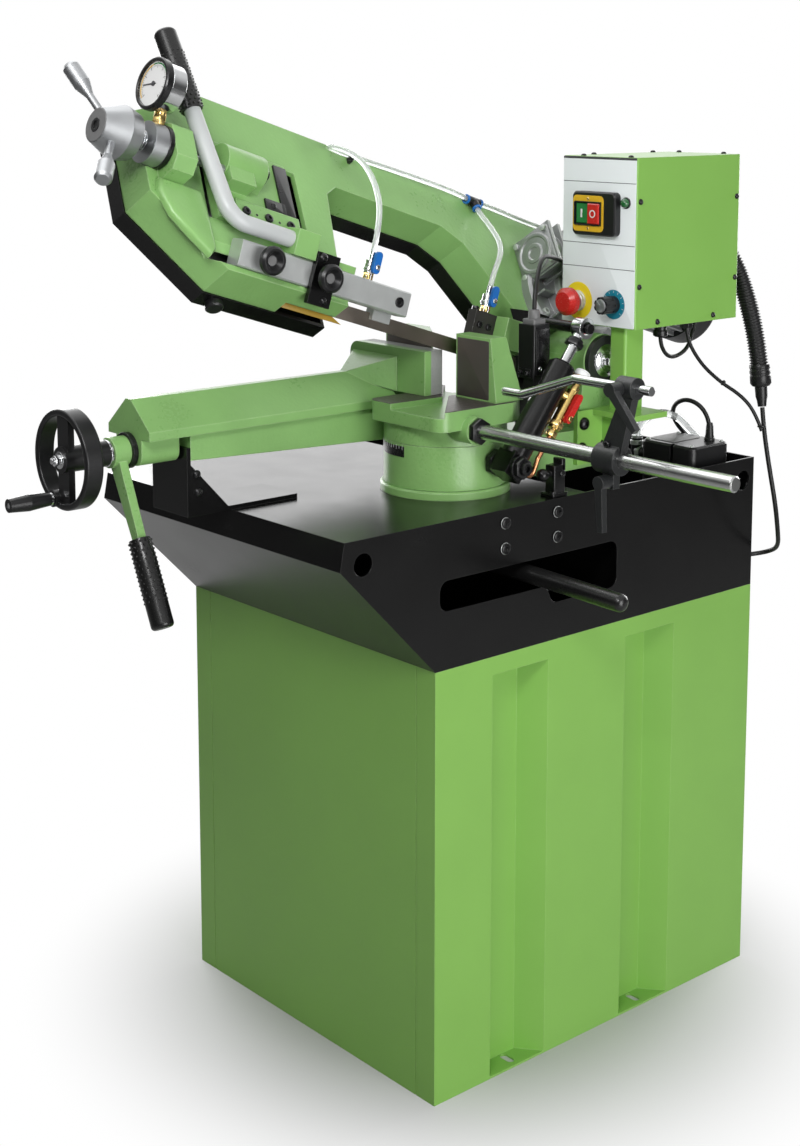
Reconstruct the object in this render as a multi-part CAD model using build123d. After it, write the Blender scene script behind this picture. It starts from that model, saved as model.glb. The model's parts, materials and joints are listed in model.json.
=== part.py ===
from build123d import *
import math
import os

# Metal cutting band saw on a sheet-metal cabinet, with a swivelling bow.
# Millimetres, +Z up, +X to the operator's right, -Y towards the operator.
# Places below are given from the middle of the cabinet's footprint on the floor;
# at the end everything moves so that the four floor anchors are centred on the origin.

# Cabinet
CABINET_WIDTH = 550.0
CABINET_DEPTH = 655.0
CABINET_HEIGHT = 610.0
SHEET = 2.5
TOP_BAND = 26.0
GROOVE_OPENING = 107.0
GROOVE_FLOOR = 52.0
GROOVE_DEPTH = 34.0
GROOVE_CENTRES = (-170.0, 95.0)
SEAM_FROM_CORNER = 38.0
SEAM_WIDTH = 2.0
SEAM_DEPTH = 1.2
ANCHOR_SLOT_WIDTH = 12.0
ANCHOR_SLOT_LENGTH = 24.0
ANCHOR_EDGE = 20.0
FLANGE = 3.0
TOP_LEDGE = 24.0

# Coolant tray
TRAY_TOP = 810.0
TRAY_FRONT = -480.0
TRAY_LIP = 37.0
TRAY_LIP_LEAN = 7.0
TRAY_WALL = 3.0
TRAY_PLATE = 4.0
DECK_REAR = -44.0
TANK_FRONT = 30.0
CHUTE_DROP = 46.0
TRAY_HOLE_RADIUS = 15.0
TRAY_HOLE_DROP = 33.0
TRAY_HOLE_FRONT_INSET = 30.0
TRAY_HOLE_REAR_INSET = 25.0
WINDOW_FRONT = -320.0
WINDOW_REAR = 21.0
WINDOW_TOP = 731.0
WINDOW_BOTTOM = 689.0
WINDOW_STEP = -122.0
WINDOW_STEP_DROP = 26.0
WINDOW_SLOPE = 12.0
WINDOW_CORNER = 15.0

# Table height, which the drum, vise, stop, bow and control box all follow
TABLE_TOP = 940.0

# Turntable
TURN_X = 120.0
TURN_Y = -170.0
BASE_RING_RADIUS = 92.0
BASE_RING_HEIGHT = 12.0
COLUMN_RADIUS = 45.0
DRUM_RADIUS = 87.0
DRUM_TOP = TABLE_TOP - 56.0
FACE_GAP = 0.3
RUNNING_FIT = 0.08
ARM_BOTTOM_LIFT = 4.0

# Table and vise
TABLE_LEFT = 64.0
TABLE_RIGHT = 217.0
TABLE_FRONT = -267.0
TABLE_REAR = -98.0
WING_LEFT = -62.0
WING_THICKNESS = 36.0
WING_REAR = -108.0
TABLE_SWING = 104.0
SWEEP_ANGLE = 47.0
SWEEP_DEPTH = 9.0
SWEEP_REACH = 150.0
BLADE_SIDE_ROOM = 3.0
JAW_LINE = -160.0
FIXED_JAW_LEFT = 131.0
FIXED_JAW_RIGHT = 200.0
FIXED_JAW_HEIGHT = 89.0
FIXED_JAW_TOP_DEPTH = 30.0
FIXED_JAW_FOOT_DEPTH = 52.0
INFEED_JAW_LEFT = -20.0
INFEED_JAW_RIGHT = 82.0
INFEED_JAW_HEIGHT = 85.0
INFEED_JAW_DEPTH = 42.0
INFEED_CHAMFER = 54.0
VISE_GAP = 2.0
MOVING_JAW_THICKNESS = 33.0
MOVING_JAW_LEFT = -60.0
MOVING_JAW_RIGHT = 104.0
MOVING_JAW_HEIGHT = 63.0
MOVING_JAW_CORNER = 16.0
BEAM_X = -4.0
BEAM_WIDTH = 98.0
BEAM_RIDGE = TABLE_TOP + 30.0
BEAM_SHOULDER = TABLE_TOP - 8.0
BEAM_BOTTOM = TABLE_TOP - 20.0
BEAM_FRONT = -613.0
BEAM_RIDGE_FLAT = 12.0
BEAM_FOOT_BOTTOM = TABLE_TOP - 56.0
BEAM_FOOT_LENGTH = 58.0
SLIDE_GAP = 0.5
RAIL_WIDTH = 82.0
RAIL_FRONT = -545.0
RAIL_FRONT_HEIGHT = 34.0
RAIL_REAR_HEIGHT = 50.0
RAIL_WALL = 11.0
RAIL_NUT_LENGTH = 50.0
SCREW_Z = TABLE_TOP - 37.0
SCREW_RADIUS = 8.0
SCREW_REACH = 380.0
BRACKET_PLATE = 6.0
BRACKET_FOOT = 110.0

# Vise handwheel, crank and quick-clamp lever
HANDWHEEL_Y = -706.0
HANDWHEEL_RADIUS = 65.0
HANDWHEEL_RIM = 9.0
HANDWHEEL_HUB = 17.0
HANDWHEEL_BAND = 9.0
HANDWHEEL_BACK = 16.0
HANDWHEEL_SPOKES = 2
HANDWHEEL_SPOKE = 26.0
CRANK_ANGLE = 250.0
CRANK_RADIUS = 11.0
CRANK_LENGTH = 62.0
LEVER_Y = -633.0
LEVER_HUB = 20.0
LEVER_HUB_LENGTH = 24.0
LEVER_LENGTH = 118.0
LEVER_LEAN = 26.0
LEVER_WIDE = 24.0
LEVER_NARROW = 15.0
LEVER_THICK = 12.0
GRIP_RADIUS = 15.0
GRIP_LENGTH = 118.0

# Length stop on its rod
STOP_ROD_Y = -211.0
STOP_ROD_Z = TABLE_TOP - 29.0
STOP_ROD_RADIUS = 10.0
STOP_ROD_END = 667.0
STOP_BOSS_RADIUS = 19.0
STOP_BOSS_LENGTH = 12.0
STOP_ARM_X = 472.0
STOP_ARM_WIDTH = 36.0
STOP_ARM_OFFSET = 32.0
STOP_ARM_RISE = 93.0
STOP_ARM_THICK = 12.0
STOP_RING_RADIUS = 19.0
FINGER_RADIUS = 6.0
FINGER_CLAMP_RADIUS = 14.0
FINGER_RIGHT = 536.0
FINGER_BEND = 408.0
FINGER_DROP_END = 314.0
FINGER_TIP = 281.0
FINGER_DROP = 32.0
CLAMP_HUB_RADIUS = 9.0
CLAMP_LEVER_LENGTH = 62.0

# Coolant pump in the tank
PUMP_LEFT = 152.0
PUMP_RIGHT = 256.0
PUMP_FRONT = 205.0
PUMP_REAR = 293.0
PUMP_TOP = 836.0
PUMP_CORNER = 12.0

# Rotation lock lever under the tray
LOCK_Y = -139.0
LOCK_Z = 722.0
LOCK_RADIUS = 12.5
LOCK_REACH = 436.0
LOCK_DROP = 20.0
LOCK_HUB_RADIUS = 30.0

# Bow hinge
PIVOT_Y = 51.0
PIVOT_Z = TABLE_TOP + 40.0
PIVOT_PIN_RADIUS = 17.0
PEDESTAL_LEFT = 176.0
PEDESTAL_RIGHT = 212.0
PEDESTAL_RADIUS = 38.0
LUG_RADIUS = 34.0
LUG_LEFT = 126.0
BOW_RAISE = 17.7
BOW_TILT = 37.0

# Bow: lengths along Y, heights across the wheel plane, depths along the wheel axes
BLADE_X = 120.0
BLADE_Z = TABLE_TOP + 6.0
BLADE_WIDTH = 20.0
BLADE_THICKNESS = 0.9
WHEEL_RADIUS = 102.0
WHEEL_HALF_WIDTH = 11.0
WHEEL_RIM = 14.0
WHEEL_HUB = 30.0
WHEEL_WEB = 6.0
AXLE_RADIUS = 14.0
FRONT_WHEEL_Y = -545.0
REAR_WHEEL_Y = 88.0
CASTING_FRONT_FACE = 32.0
CASTING_CAVITY = 24.0
CASTING_BACK = -20.0
CASTING_WALL = 6.0
COVER_BACK = -45.0
COVER_WALL = 3.0
BEAM_TOP_T = 264.0
BEAM_LOW_T = 189.0
HOUSING_LOW_T = -16.0
BOW_FRONT = -690.0
THROAT_FRONT = -376.0
BOW_REAR = 207.0
SLIDE_WINDOW = (-602.0, -432.0, 60.0, 186.0)
SLIDE_TRAVEL_ROOM = 12.0
SLIDE_FACE = 38.0
SLIDE_BOSS_RADIUS = 22.0
SLIDE_BOSS_T = 148.0
GUIDE_BAR_LEFT = 132.0
GUIDE_BAR_RIGHT = 156.0
GUIDE_BAR_BOTTOM = BLADE_Z + 14.0
GUIDE_BAR_TOP = BLADE_Z + 48.0
GUIDE_BAR_FRONT = -575.0
GUIDE_BAR_REAR = -285.0
GUIDE_HEAD_LENGTH = 36.0
GUIDE_TRAVEL = 22.0
GUIDE_PAD_WIDTH = 7.0
GUIDE_PAD_GAP = 0.35
HOLDER_FRONT = -470.0
HOLDER_REAR = -386.0
CLAMP_PLATE_THICK = 7.0
CLAMP_PLATE_FRONT = -461.0
CLAMP_PLATE_REAR = -424.0
KNOB_RADIUS = 18.5
KNOB_LENGTH = 22.0
KNOB_STEM = 6.0
BAR_KNOB_Y = -536.0
CLAMP_KNOB_Y = -420.0
REAR_GUIDE_FRONT = -134.0
REAR_GUIDE_REAR = -92.0

# Blade tension screw, star wheel and gauge
TENSION_T = 131.0
TENSION_N = 48.0
TENSION_SCREW_RADIUS = 6.0
TENSION_BLOCK = (-673.0, -641.0)
TENSION_BLOCK_HALF = 34.0
COLLAR_RADIUS = 27.0
COLLAR_LENGTH = 28.0
STAR_FRONT = -771.0
STAR_HUB_RADIUS = 35.0
STAR_HUB_LENGTH = 50.0
STAR_SPOKES = 2
STAR_REACH = 107.0
STAR_LEAN = 22.0
STAR_TURN = 172.0
GAUGE_RADIUS = 33.0
GAUGE_DEPTH = 28.0
GAUGE_RISE = 72.0
GAUGE_STEM = 7.0

# Bow handle
HANDLE_RADIUS = 11.0
HANDLE_N = 62.0
HANDLE_T = 38.0
HANDLE_END = -480.0
HANDLE_SEAT_HALF = 18.0
HANDLE_BEND = -594.0
HANDLE_TOP = (-646.0, 247.0, 74.0)
HANDLE_BEND_RADIUS = 32.0

# Gearbox and motor on the drive wheel's axis
FLANGE_RADIUS = 92.0
FLANGE_TOP = 50.0
GEARCASE_RADIUS = 58.0
GEARCASE_TOP = 72.0
WORM_T_OFFSET = 62.0
WORM_N = 67.0
WORM_RADIUS = 34.0
WORM_FRONT = 8.0
MOTOR_FLANGE_Y = 197.0
MOTOR_FLANGE_SIDE = 120.0
MOTOR_FLANGE_THICK = 12.0
MOTOR_RADIUS = 58.0
MOTOR_LENGTH = 166.0
MOTOR_N = 72.0
MOTOR_FINS = 20
MOTOR_FIN_HEIGHT = 7.0

# Control box and its post
BOX_LEFT = 152.0
BOX_RIGHT = 292.0
BOX_FRONT = 30.0
BOX_REAR = 255.0
BOX_BOTTOM = TABLE_TOP + 93.0
BOX_TOP = BOX_BOTTOM + 240.0
POST_X = 247.0
POST_Y = 65.0
POST_WIDTH = 30.0
POST_DEPTH = 40.0
POST_FLANGE_TOP = TABLE_TOP - 28.0
POST_FLANGE_RIGHT = 300.0
POST_PLATE = 8.0
POST_PLATE_FRONT = -6.0
POST_PLATE_REAR = 94.0
POST_PLATE_BOTTOM = TABLE_TOP - 106.0
SWITCH_X = 222.0
SWITCH_Z = BOX_BOTTOM + 160.0
SWITCH_WIDTH = 82.0
SWITCH_HEIGHT = 62.0
SWITCH_DEPTH = 13.0
BUTTON_WIDTH = 22.0
BUTTON_HEIGHT = 29.0
BUTTON_DEPTH = 7.0
BUTTON_TRAVEL = 3.0
BUTTON_GAP = 0.5
ESTOP_X = 185.0
ESTOP_Z = BOX_BOTTOM + 33.0
ESTOP_RADIUS = 20.0
SPEED_X = 253.0
KNOB_DIAL_RADIUS = 12.5

# Feed cylinder between the turntable and the bow
CYLINDER_X = 239.0
CYLINDER_FOOT = (-160.0, TABLE_TOP - 82.0)
CYLINDER_HEAD = (-19.0, TABLE_TOP + 95.0)
CYLINDER_RADIUS = 20.0
CYLINDER_PIN = 10.0
CYLINDER_TUBE_END = 166.0
PISTON_ROD_RADIUS = 8.0
ROD_EYE_RADIUS = 15.0
ROD_EYE_BORE = 9.5
LIFT_PIN_RADIUS = 7.0
LIFT_ARM_RADIUS = 8.0
LIMIT_X = 182.0
LIMIT_Y = -72.0
LIMIT_BOTTOM = TABLE_TOP + 26.0
LIMIT_HEIGHT = 76.0

# Hoses and cables
CLEAR_HOSE_RADIUS = 4.0
CABLE_RADIUS = 3.5
CONDUIT_RADIUS = 14.0
CONDUIT_RIB = 1.6
CONDUIT_RIBS = 24
CONDUIT_BORE = 10.0

NODES = {}


def block(x0, x1, y0, y1, z0, z1):
    """A box between two corners."""
    centre = Pos((x0 + x1) / 2, (y0 + y1) / 2, (z0 + z1) / 2)
    return centre * Box(abs(x1 - x0), abs(y1 - y0), abs(z1 - z0))


def bar(start, end, radius):
    """A round bar between two points."""
    axis = Vector(*end) - Vector(*start)
    return extrude(Plane(origin=start, z_dir=axis) * Circle(radius), axis.length)


def prism(points, plane, depth):
    """A straight-sided solid from a closed outline on a plane."""
    return extrude(plane * make_face(Polyline(*points, close=True)), depth)


def along_y(x, y, z):
    """A plane whose normal points to the rear, with local X to the right."""
    return Plane(origin=(x, y, z), x_dir=(1, 0, 0), z_dir=(0, -1, 0))


def tube_path(points, slack=0.45):
    """Straight runs joined by arcs as large as the runs allow."""
    route = [Vector(*p) for p in points]
    radii = []
    for before, here, after in zip(route, route[1:], route[2:]):
        turn = math.radians((here - before).get_angle(after - here))
        shorter = min((here - before).length, (after - here).length)
        radii.append(slack * shorter / math.tan(turn / 2))
    print("route radii", [round(r, 1) for r in radii])
    return FilletPolyline(*route, radius=radii)


def hose(points, radius):
    """A round hose or cable along a route of straight runs and arcs."""
    path = tube_path(points)
    section = Plane(origin=path @ 0, z_dir=path % 0) * Circle(radius)
    solid = sweep(section, path=path)
    share = solid.volume / (math.pi * radius ** 2 * path.length)
    print("hose volume over section times length", round(share, 3))
    return solid


# The bow is drawn with its blade level, in the tilted plane of its two wheels
TILT = math.radians(BOW_TILT)
BOW_PLANE = Plane(
    origin=(BLADE_X, 0, BLADE_Z),
    x_dir=(0, 1, 0),
    z_dir=(math.cos(TILT), 0, math.sin(TILT)),
)
PIVOT_AXIS = Axis((0, PIVOT_Y, PIVOT_Z), (1, 0, 0))


def bow_point(y, t, n):
    """A point of the level bow from its length, height and depth."""
    return BOW_PLANE.from_local_coords(Vector(y, t, n))


def tilted(shape):
    """Carry a shape drawn flat into the plane of the wheels."""
    return BOW_PLANE.location * shape


def raised(shape):
    """Lift a piece of the level bow to the rest pose."""
    return shape.rotate(PIVOT_AXIS, -BOW_RAISE)


def raised_point(y, z):
    """The rest-pose place of a point of the level bow, seen along the hinge."""
    angle = math.radians(BOW_RAISE)
    dy = y - PIVOT_Y
    dz = z - PIVOT_Z
    return (
        PIVOT_Y + dy * math.cos(angle) + dz * math.sin(angle),
        PIVOT_Z - dy * math.sin(angle) + dz * math.cos(angle),
    )


def level_point(y, z):
    """The level-bow place of a point given in the rest pose."""
    angle = math.radians(BOW_RAISE)
    dy = y - PIVOT_Y
    dz = z - PIVOT_Z
    return (
        PIVOT_Y + dy * math.cos(angle) - dz * math.sin(angle),
        PIVOT_Z + dy * math.sin(angle) + dz * math.cos(angle),
    )


# Cabinet

def groove_outline(centre, side, depth):
    """The plan of one wall groove, from the side face inwards."""
    face = side * CABINET_WIDTH / 2
    floor = side * (CABINET_WIDTH / 2 - depth)
    half = GROOVE_OPENING / 2
    flat = GROOVE_FLOOR / 2
    return [
        (face, centre - half),
        (floor, centre - flat),
        (floor, centre + flat),
        (face, centre + half),
    ]


def cabinet():
    """Welded sheet cabinet with grooved sides, a top ledge and floor flanges."""
    half_x = CABINET_WIDTH / 2
    half_y = CABINET_DEPTH / 2
    plan = Rectangle(CABINET_WIDTH, CABINET_DEPTH)
    grooved = plan
    for side in (-1, 1):
        for centre in GROOVE_CENTRES:
            grooved -= make_face(Polyline(*groove_outline(centre, side, GROOVE_DEPTH), close=True))
    wall_height = CABINET_HEIGHT - TOP_BAND
    shell = extrude(grooved, wall_height)
    shell -= extrude(offset(grooved, -SHEET, kind=Kind.INTERSECTION), wall_height)
    band = extrude(plan, TOP_BAND)
    band -= extrude(Rectangle(CABINET_WIDTH - 2 * SHEET, CABINET_DEPTH - 2 * SHEET), TOP_BAND)
    shell += Pos(0, 0, wall_height) * band
    ledge = extrude(plan, SHEET)
    ledge -= extrude(Rectangle(CABINET_WIDTH - 2 * TOP_LEDGE, CABINET_DEPTH - 2 * TOP_LEDGE), SHEET)
    shell += Pos(0, 0, CABINET_HEIGHT - SHEET) * ledge
    for side in (-1, 1):
        for centre in GROOVE_CENTRES:
            outline = groove_outline(centre, side, GROOVE_DEPTH + SHEET)
            shell += prism(outline, Plane.XY.offset(wall_height), SHEET)
            foot = prism(outline, Plane.XY, FLANGE)
            slot = SlotOverall(ANCHOR_SLOT_LENGTH, ANCHOR_SLOT_WIDTH)
            foot -= Pos(side * (half_x - ANCHOR_EDGE), centre, 0) * extrude(slot, FLANGE)
            shell += foot
    for side in (-1, 1):
        seam_x = side * (half_x - SEAM_FROM_CORNER)
        shell -= block(
            seam_x - SEAM_WIDTH / 2, seam_x + SEAM_WIDTH / 2,
            -half_y, -half_y + SEAM_DEPTH, 0, CABINET_HEIGHT,
        )
    return shell


NODES["cabinet"] = cabinet()


# Coolant tray

TRAY_BOTTOM = CABINET_HEIGHT
TRAY_REAR = CABINET_DEPTH / 2
SIDE_PLANE = Plane(origin=(-CABINET_WIDTH / 2, 0, 0), x_dir=(0, 1, 0), z_dir=(1, 0, 0))
TRAY_PROFILE = [
    (-CABINET_DEPTH / 2, TRAY_BOTTOM),
    (TRAY_FRONT - TRAY_LIP_LEAN, TRAY_TOP - TRAY_LIP),
    (TRAY_FRONT, TRAY_TOP),
    (TRAY_REAR, TRAY_TOP),
    (TRAY_REAR, TRAY_BOTTOM),
]


def rail_bracket():
    """Angle plate on the tray that carries the front end of the vise rail."""
    front = RAIL_FRONT - BRACKET_PLATE
    left = BEAM_X - RAIL_WIDTH / 2
    right = BEAM_X + RAIL_WIDTH / 2
    rail_bottom = BEAM_BOTTOM - SLIDE_GAP - RAIL_FRONT_HEIGHT
    foot = block(left, right, front, TRAY_FRONT + BRACKET_FOOT, TRAY_TOP, TRAY_TOP + BRACKET_PLATE)
    upright = block(left, right, front, RAIL_FRONT, TRAY_TOP, rail_bottom + RAIL_FRONT_HEIGHT / 2)
    room = SCREW_RADIUS + 2 * FACE_GAP
    screw = bar((BEAM_X, front, SCREW_Z), (BEAM_X, RAIL_FRONT, SCREW_Z), room)
    rib_top = rail_bottom - BRACKET_PLATE
    ribs = None
    for x in (left, right - BRACKET_PLATE):
        plane = Plane(origin=(x, 0, 0), x_dir=(0, 1, 0), z_dir=(1, 0, 0))
        outline = [(RAIL_FRONT, TRAY_TOP), (TRAY_FRONT, TRAY_TOP), (RAIL_FRONT, rib_top)]
        rib = prism(outline, plane, BRACKET_PLATE)
        ribs = rib if ribs is None else ribs + rib
    return foot + upright - screw + ribs


def coolant_tray():
    """Folded tray with a sloping front, a flat deck and an open tank behind."""
    outer = prism(TRAY_PROFILE, SIDE_PLANE, CABINET_WIDTH)
    profile = make_face(Polyline(*TRAY_PROFILE, close=True))
    inner = offset(profile, -TRAY_WALL, kind=Kind.INTERSECTION)
    hollow = extrude(SIDE_PLANE.offset(TRAY_WALL) * inner, CABINET_WIDTH - 2 * TRAY_WALL)
    half = CABINET_WIDTH / 2 - TRAY_WALL
    deck = block(-half, half, TRAY_FRONT - TRAY_LIP, DECK_REAR, TRAY_TOP - TRAY_PLATE, TRAY_TOP)
    chute_low = TRAY_TOP - CHUTE_DROP
    baffle = block(-half, half, TANK_FRONT - TRAY_WALL, TANK_FRONT, TRAY_BOTTOM, chute_low)
    chute = prism(
        [
            (DECK_REAR, TRAY_TOP),
            (DECK_REAR, TRAY_TOP - TRAY_PLATE),
            (TANK_FRONT, chute_low - TRAY_PLATE),
            (TANK_FRONT, chute_low),
        ],
        SIDE_PLANE.offset(TRAY_WALL),
        2 * half,
    )
    tray = outer - hollow + baffle + chute
    tray -= block(-half, half, DECK_REAR, TRAY_REAR - TRAY_WALL, TRAY_TOP - TRAY_PLATE, TRAY_TOP + 1) - chute
    tray += deck & outer
    window_plane = Plane(origin=(half - 1, 0, 0), x_dir=(0, 1, 0), z_dir=(1, 0, 0))
    window = make_face(Polyline(
        (WINDOW_FRONT, WINDOW_BOTTOM),
        (WINDOW_STEP, WINDOW_BOTTOM),
        (WINDOW_STEP + WINDOW_SLOPE, WINDOW_BOTTOM - WINDOW_STEP_DROP),
        (WINDOW_REAR, WINDOW_BOTTOM - WINDOW_STEP_DROP),
        (WINDOW_REAR, WINDOW_TOP),
        (WINDOW_FRONT, WINDOW_TOP),
        close=True,
    ))
    window = fillet(window.vertices(), WINDOW_CORNER)
    tray -= extrude(window_plane * window, TRAY_WALL + 2)
    hole_z = TRAY_TOP - TRAY_HOLE_DROP
    for y in (TRAY_FRONT + TRAY_HOLE_FRONT_INSET, TRAY_REAR - TRAY_HOLE_REAR_INSET):
        tray -= bar((-CABINET_WIDTH, y, hole_z), (CABINET_WIDTH, y, hole_z), TRAY_HOLE_RADIUS)
    return tray + rail_bracket()


NODES["coolant_tray"] = coolant_tray()


# Turntable base, table and jaws

RING_TOP = TRAY_TOP + BASE_RING_HEIGHT
BORE_RADIUS = COLUMN_RADIUS + RUNNING_FIT


def turntable_base():
    """Flanged column bolted to the tray deck; the turntable turns round it."""
    ring = Pos(TURN_X, TURN_Y, TRAY_TOP) * extrude(Circle(BASE_RING_RADIUS), BASE_RING_HEIGHT)
    ring = chamfer(ring.edges().group_by(Axis.Z)[-1], BASE_RING_HEIGHT / 6)
    column = Pos(TURN_X, TURN_Y, RING_TOP) * extrude(Circle(COLUMN_RADIUS), DRUM_TOP - RING_TOP)
    return ring + column


NODES["turntable_base"] = turntable_base()


def sweep_room(direction):
    """Wedge under the table's surface in which the lowered blade swings."""
    points = [(TURN_X, TURN_Y + direction * 2 * BLADE_SIDE_ROOM)]
    start = -BLADE_SIDE_ROOM
    for angle in (start, SWEEP_ANGLE / 3, 2 * SWEEP_ANGLE / 3, SWEEP_ANGLE):
        turn = math.radians(angle)
        dx = SWEEP_REACH * math.sin(turn)
        dy = SWEEP_REACH * math.cos(turn)
        points.append((TURN_X + direction * dx, TURN_Y - direction * dy))
    plane = Plane.XY.offset(TABLE_TOP - SWEEP_DEPTH)
    return prism(points, plane, SWEEP_DEPTH + 1)


def comb_teeth():
    """Low slanted ribs in the swept part of the table front."""
    teeth = None
    floor = TABLE_TOP - SWEEP_DEPTH
    for step in (1, 2, 3):
        x = TURN_X + step * (TABLE_RIGHT - TURN_X) / 4
        outline = [(-9, 0), (9, 0), (0, SWEEP_DEPTH / 2)]
        plane = Plane(origin=(x, TABLE_FRONT, floor), x_dir=(1, 0, 0), z_dir=(-0.45, 1, 0))
        tooth = prism(outline, plane, 46)
        teeth = tooth if teeth is None else teeth + tooth
    return teeth


def saw_table():
    """Fixed table casting on the column, with a wing for the infeed jaw."""
    corner = 18
    height = TABLE_TOP - DRUM_TOP
    plan = Pos((TABLE_LEFT + TABLE_RIGHT) / 2, (TABLE_FRONT + TABLE_REAR) / 2) * RectangleRounded(
        TABLE_RIGHT - TABLE_LEFT, TABLE_REAR - TABLE_FRONT, corner)
    top = Pos(0, 0, DRUM_TOP + height / 2) * extrude(plan, height / 2)
    skirt = Pos(TURN_X, TURN_Y, DRUM_TOP) * extrude(Circle(DRUM_RADIUS), height / 2)
    wing_depth = TABLE_REAR - JAW_LINE + 6
    wing = block(
        WING_LEFT, TABLE_LEFT + corner, TABLE_REAR - wing_depth, WING_REAR,
        TABLE_TOP - WING_THICKNESS, TABLE_TOP,
    )
    outside = block(TURN_X, TABLE_RIGHT + 5, TURN_Y, TABLE_REAR + 5, DRUM_TOP, TABLE_TOP)
    outside -= Pos(TURN_X, TURN_Y, DRUM_TOP) * extrude(Circle(TABLE_SWING), height)
    top -= outside
    table = top + skirt + wing
    table -= sweep_room(1)
    table -= sweep_room(-1)
    table += comb_teeth() & top
    boss_start = TABLE_RIGHT - 2 * STOP_BOSS_LENGTH
    boss = bar(
        (boss_start, STOP_ROD_Y, STOP_ROD_Z),
        (TABLE_RIGHT + STOP_BOSS_LENGTH, STOP_ROD_Y, STOP_ROD_Z),
        STOP_BOSS_RADIUS,
    )
    table += boss
    socket = bar(
        (boss_start, STOP_ROD_Y, STOP_ROD_Z),
        (TABLE_RIGHT + STOP_BOSS_LENGTH, STOP_ROD_Y, STOP_ROD_Z),
        STOP_ROD_RADIUS,
    )
    return table - socket


NODES["saw_table"] = saw_table()


def fixed_jaws():
    """Right jaw with a flared foot, and the infeed jaw with a chamfered back."""
    mid_x = (FIXED_JAW_LEFT + FIXED_JAW_RIGHT) / 2
    width = FIXED_JAW_RIGHT - FIXED_JAW_LEFT
    flare = 12
    foot = Pos(mid_x + flare / 2, JAW_LINE + FIXED_JAW_FOOT_DEPTH / 2, TABLE_TOP) * Rectangle(
        width + flare, FIXED_JAW_FOOT_DEPTH)
    crown = Pos(mid_x, JAW_LINE + FIXED_JAW_TOP_DEPTH / 2, TABLE_TOP + FIXED_JAW_HEIGHT) * Rectangle(
        width, FIXED_JAW_TOP_DEPTH)
    right_jaw = loft([foot, crown])
    right_jaw = fillet(right_jaw.edges().filter_by(Axis.X).sort_by(Axis.Z)[-1], 6)
    back = JAW_LINE + INFEED_JAW_DEPTH
    infeed = prism(
        [
            (INFEED_JAW_RIGHT, JAW_LINE),
            (INFEED_JAW_LEFT, JAW_LINE),
            (INFEED_JAW_LEFT, back),
            (INFEED_JAW_RIGHT - INFEED_CHAMFER, back),
        ],
        Plane.XY.offset(TABLE_TOP),
        INFEED_JAW_HEIGHT,
    )
    return Compound([right_jaw, infeed])


NODES["fixed_jaws"] = fixed_jaws()


# Vise rail, beam, jaw and screw

RAIL_TOP = BEAM_BOTTOM - SLIDE_GAP
RAIL_REAR = TABLE_REAR - (TABLE_REAR - JAW_LINE + 6)


def vise_rail():
    """Tapered inverted channel from the table wing to the tray bracket."""
    plane = Plane(origin=(BEAM_X - RAIL_WIDTH / 2, 0, 0), x_dir=(0, 1, 0), z_dir=(1, 0, 0))
    outline = [
        (RAIL_FRONT, RAIL_TOP),
        (RAIL_REAR, RAIL_TOP),
        (RAIL_REAR, RAIL_TOP - RAIL_REAR_HEIGHT),
        (RAIL_FRONT, RAIL_TOP - RAIL_FRONT_HEIGHT),
    ]
    rail = prism(outline, plane, RAIL_WIDTH)
    inside = RAIL_WIDTH / 2 - RAIL_WALL
    roof = SCREW_Z + SCREW_RADIUS + RAIL_WALL / 4
    rail -= block(
        BEAM_X - inside, BEAM_X + inside, RAIL_FRONT + RAIL_WALL, RAIL_REAR - RAIL_WALL,
        RAIL_TOP - 2 * RAIL_REAR_HEIGHT, roof,
    )
    nut_front = RAIL_FRONT + 2 * RAIL_WALL
    nut = block(
        BEAM_X - inside, BEAM_X + inside, nut_front, nut_front + RAIL_NUT_LENGTH,
        RAIL_TOP - RAIL_FRONT_HEIGHT, roof,
    )
    bore = bar((BEAM_X, RAIL_FRONT - 1, SCREW_Z), (BEAM_X, RAIL_REAR, SCREW_Z), SCREW_RADIUS + FACE_GAP)
    turn_room = Pos(TURN_X, TURN_Y, TRAY_TOP) * extrude(Circle(DRUM_RADIUS + 2), TABLE_TOP - TRAY_TOP)
    return rail + nut - bore - turn_room


NODES["vise_rail"] = vise_rail()

MOVING_JAW_FACE = JAW_LINE - VISE_GAP
MOVING_JAW_FRONT = MOVING_JAW_FACE - MOVING_JAW_THICKNESS


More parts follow.
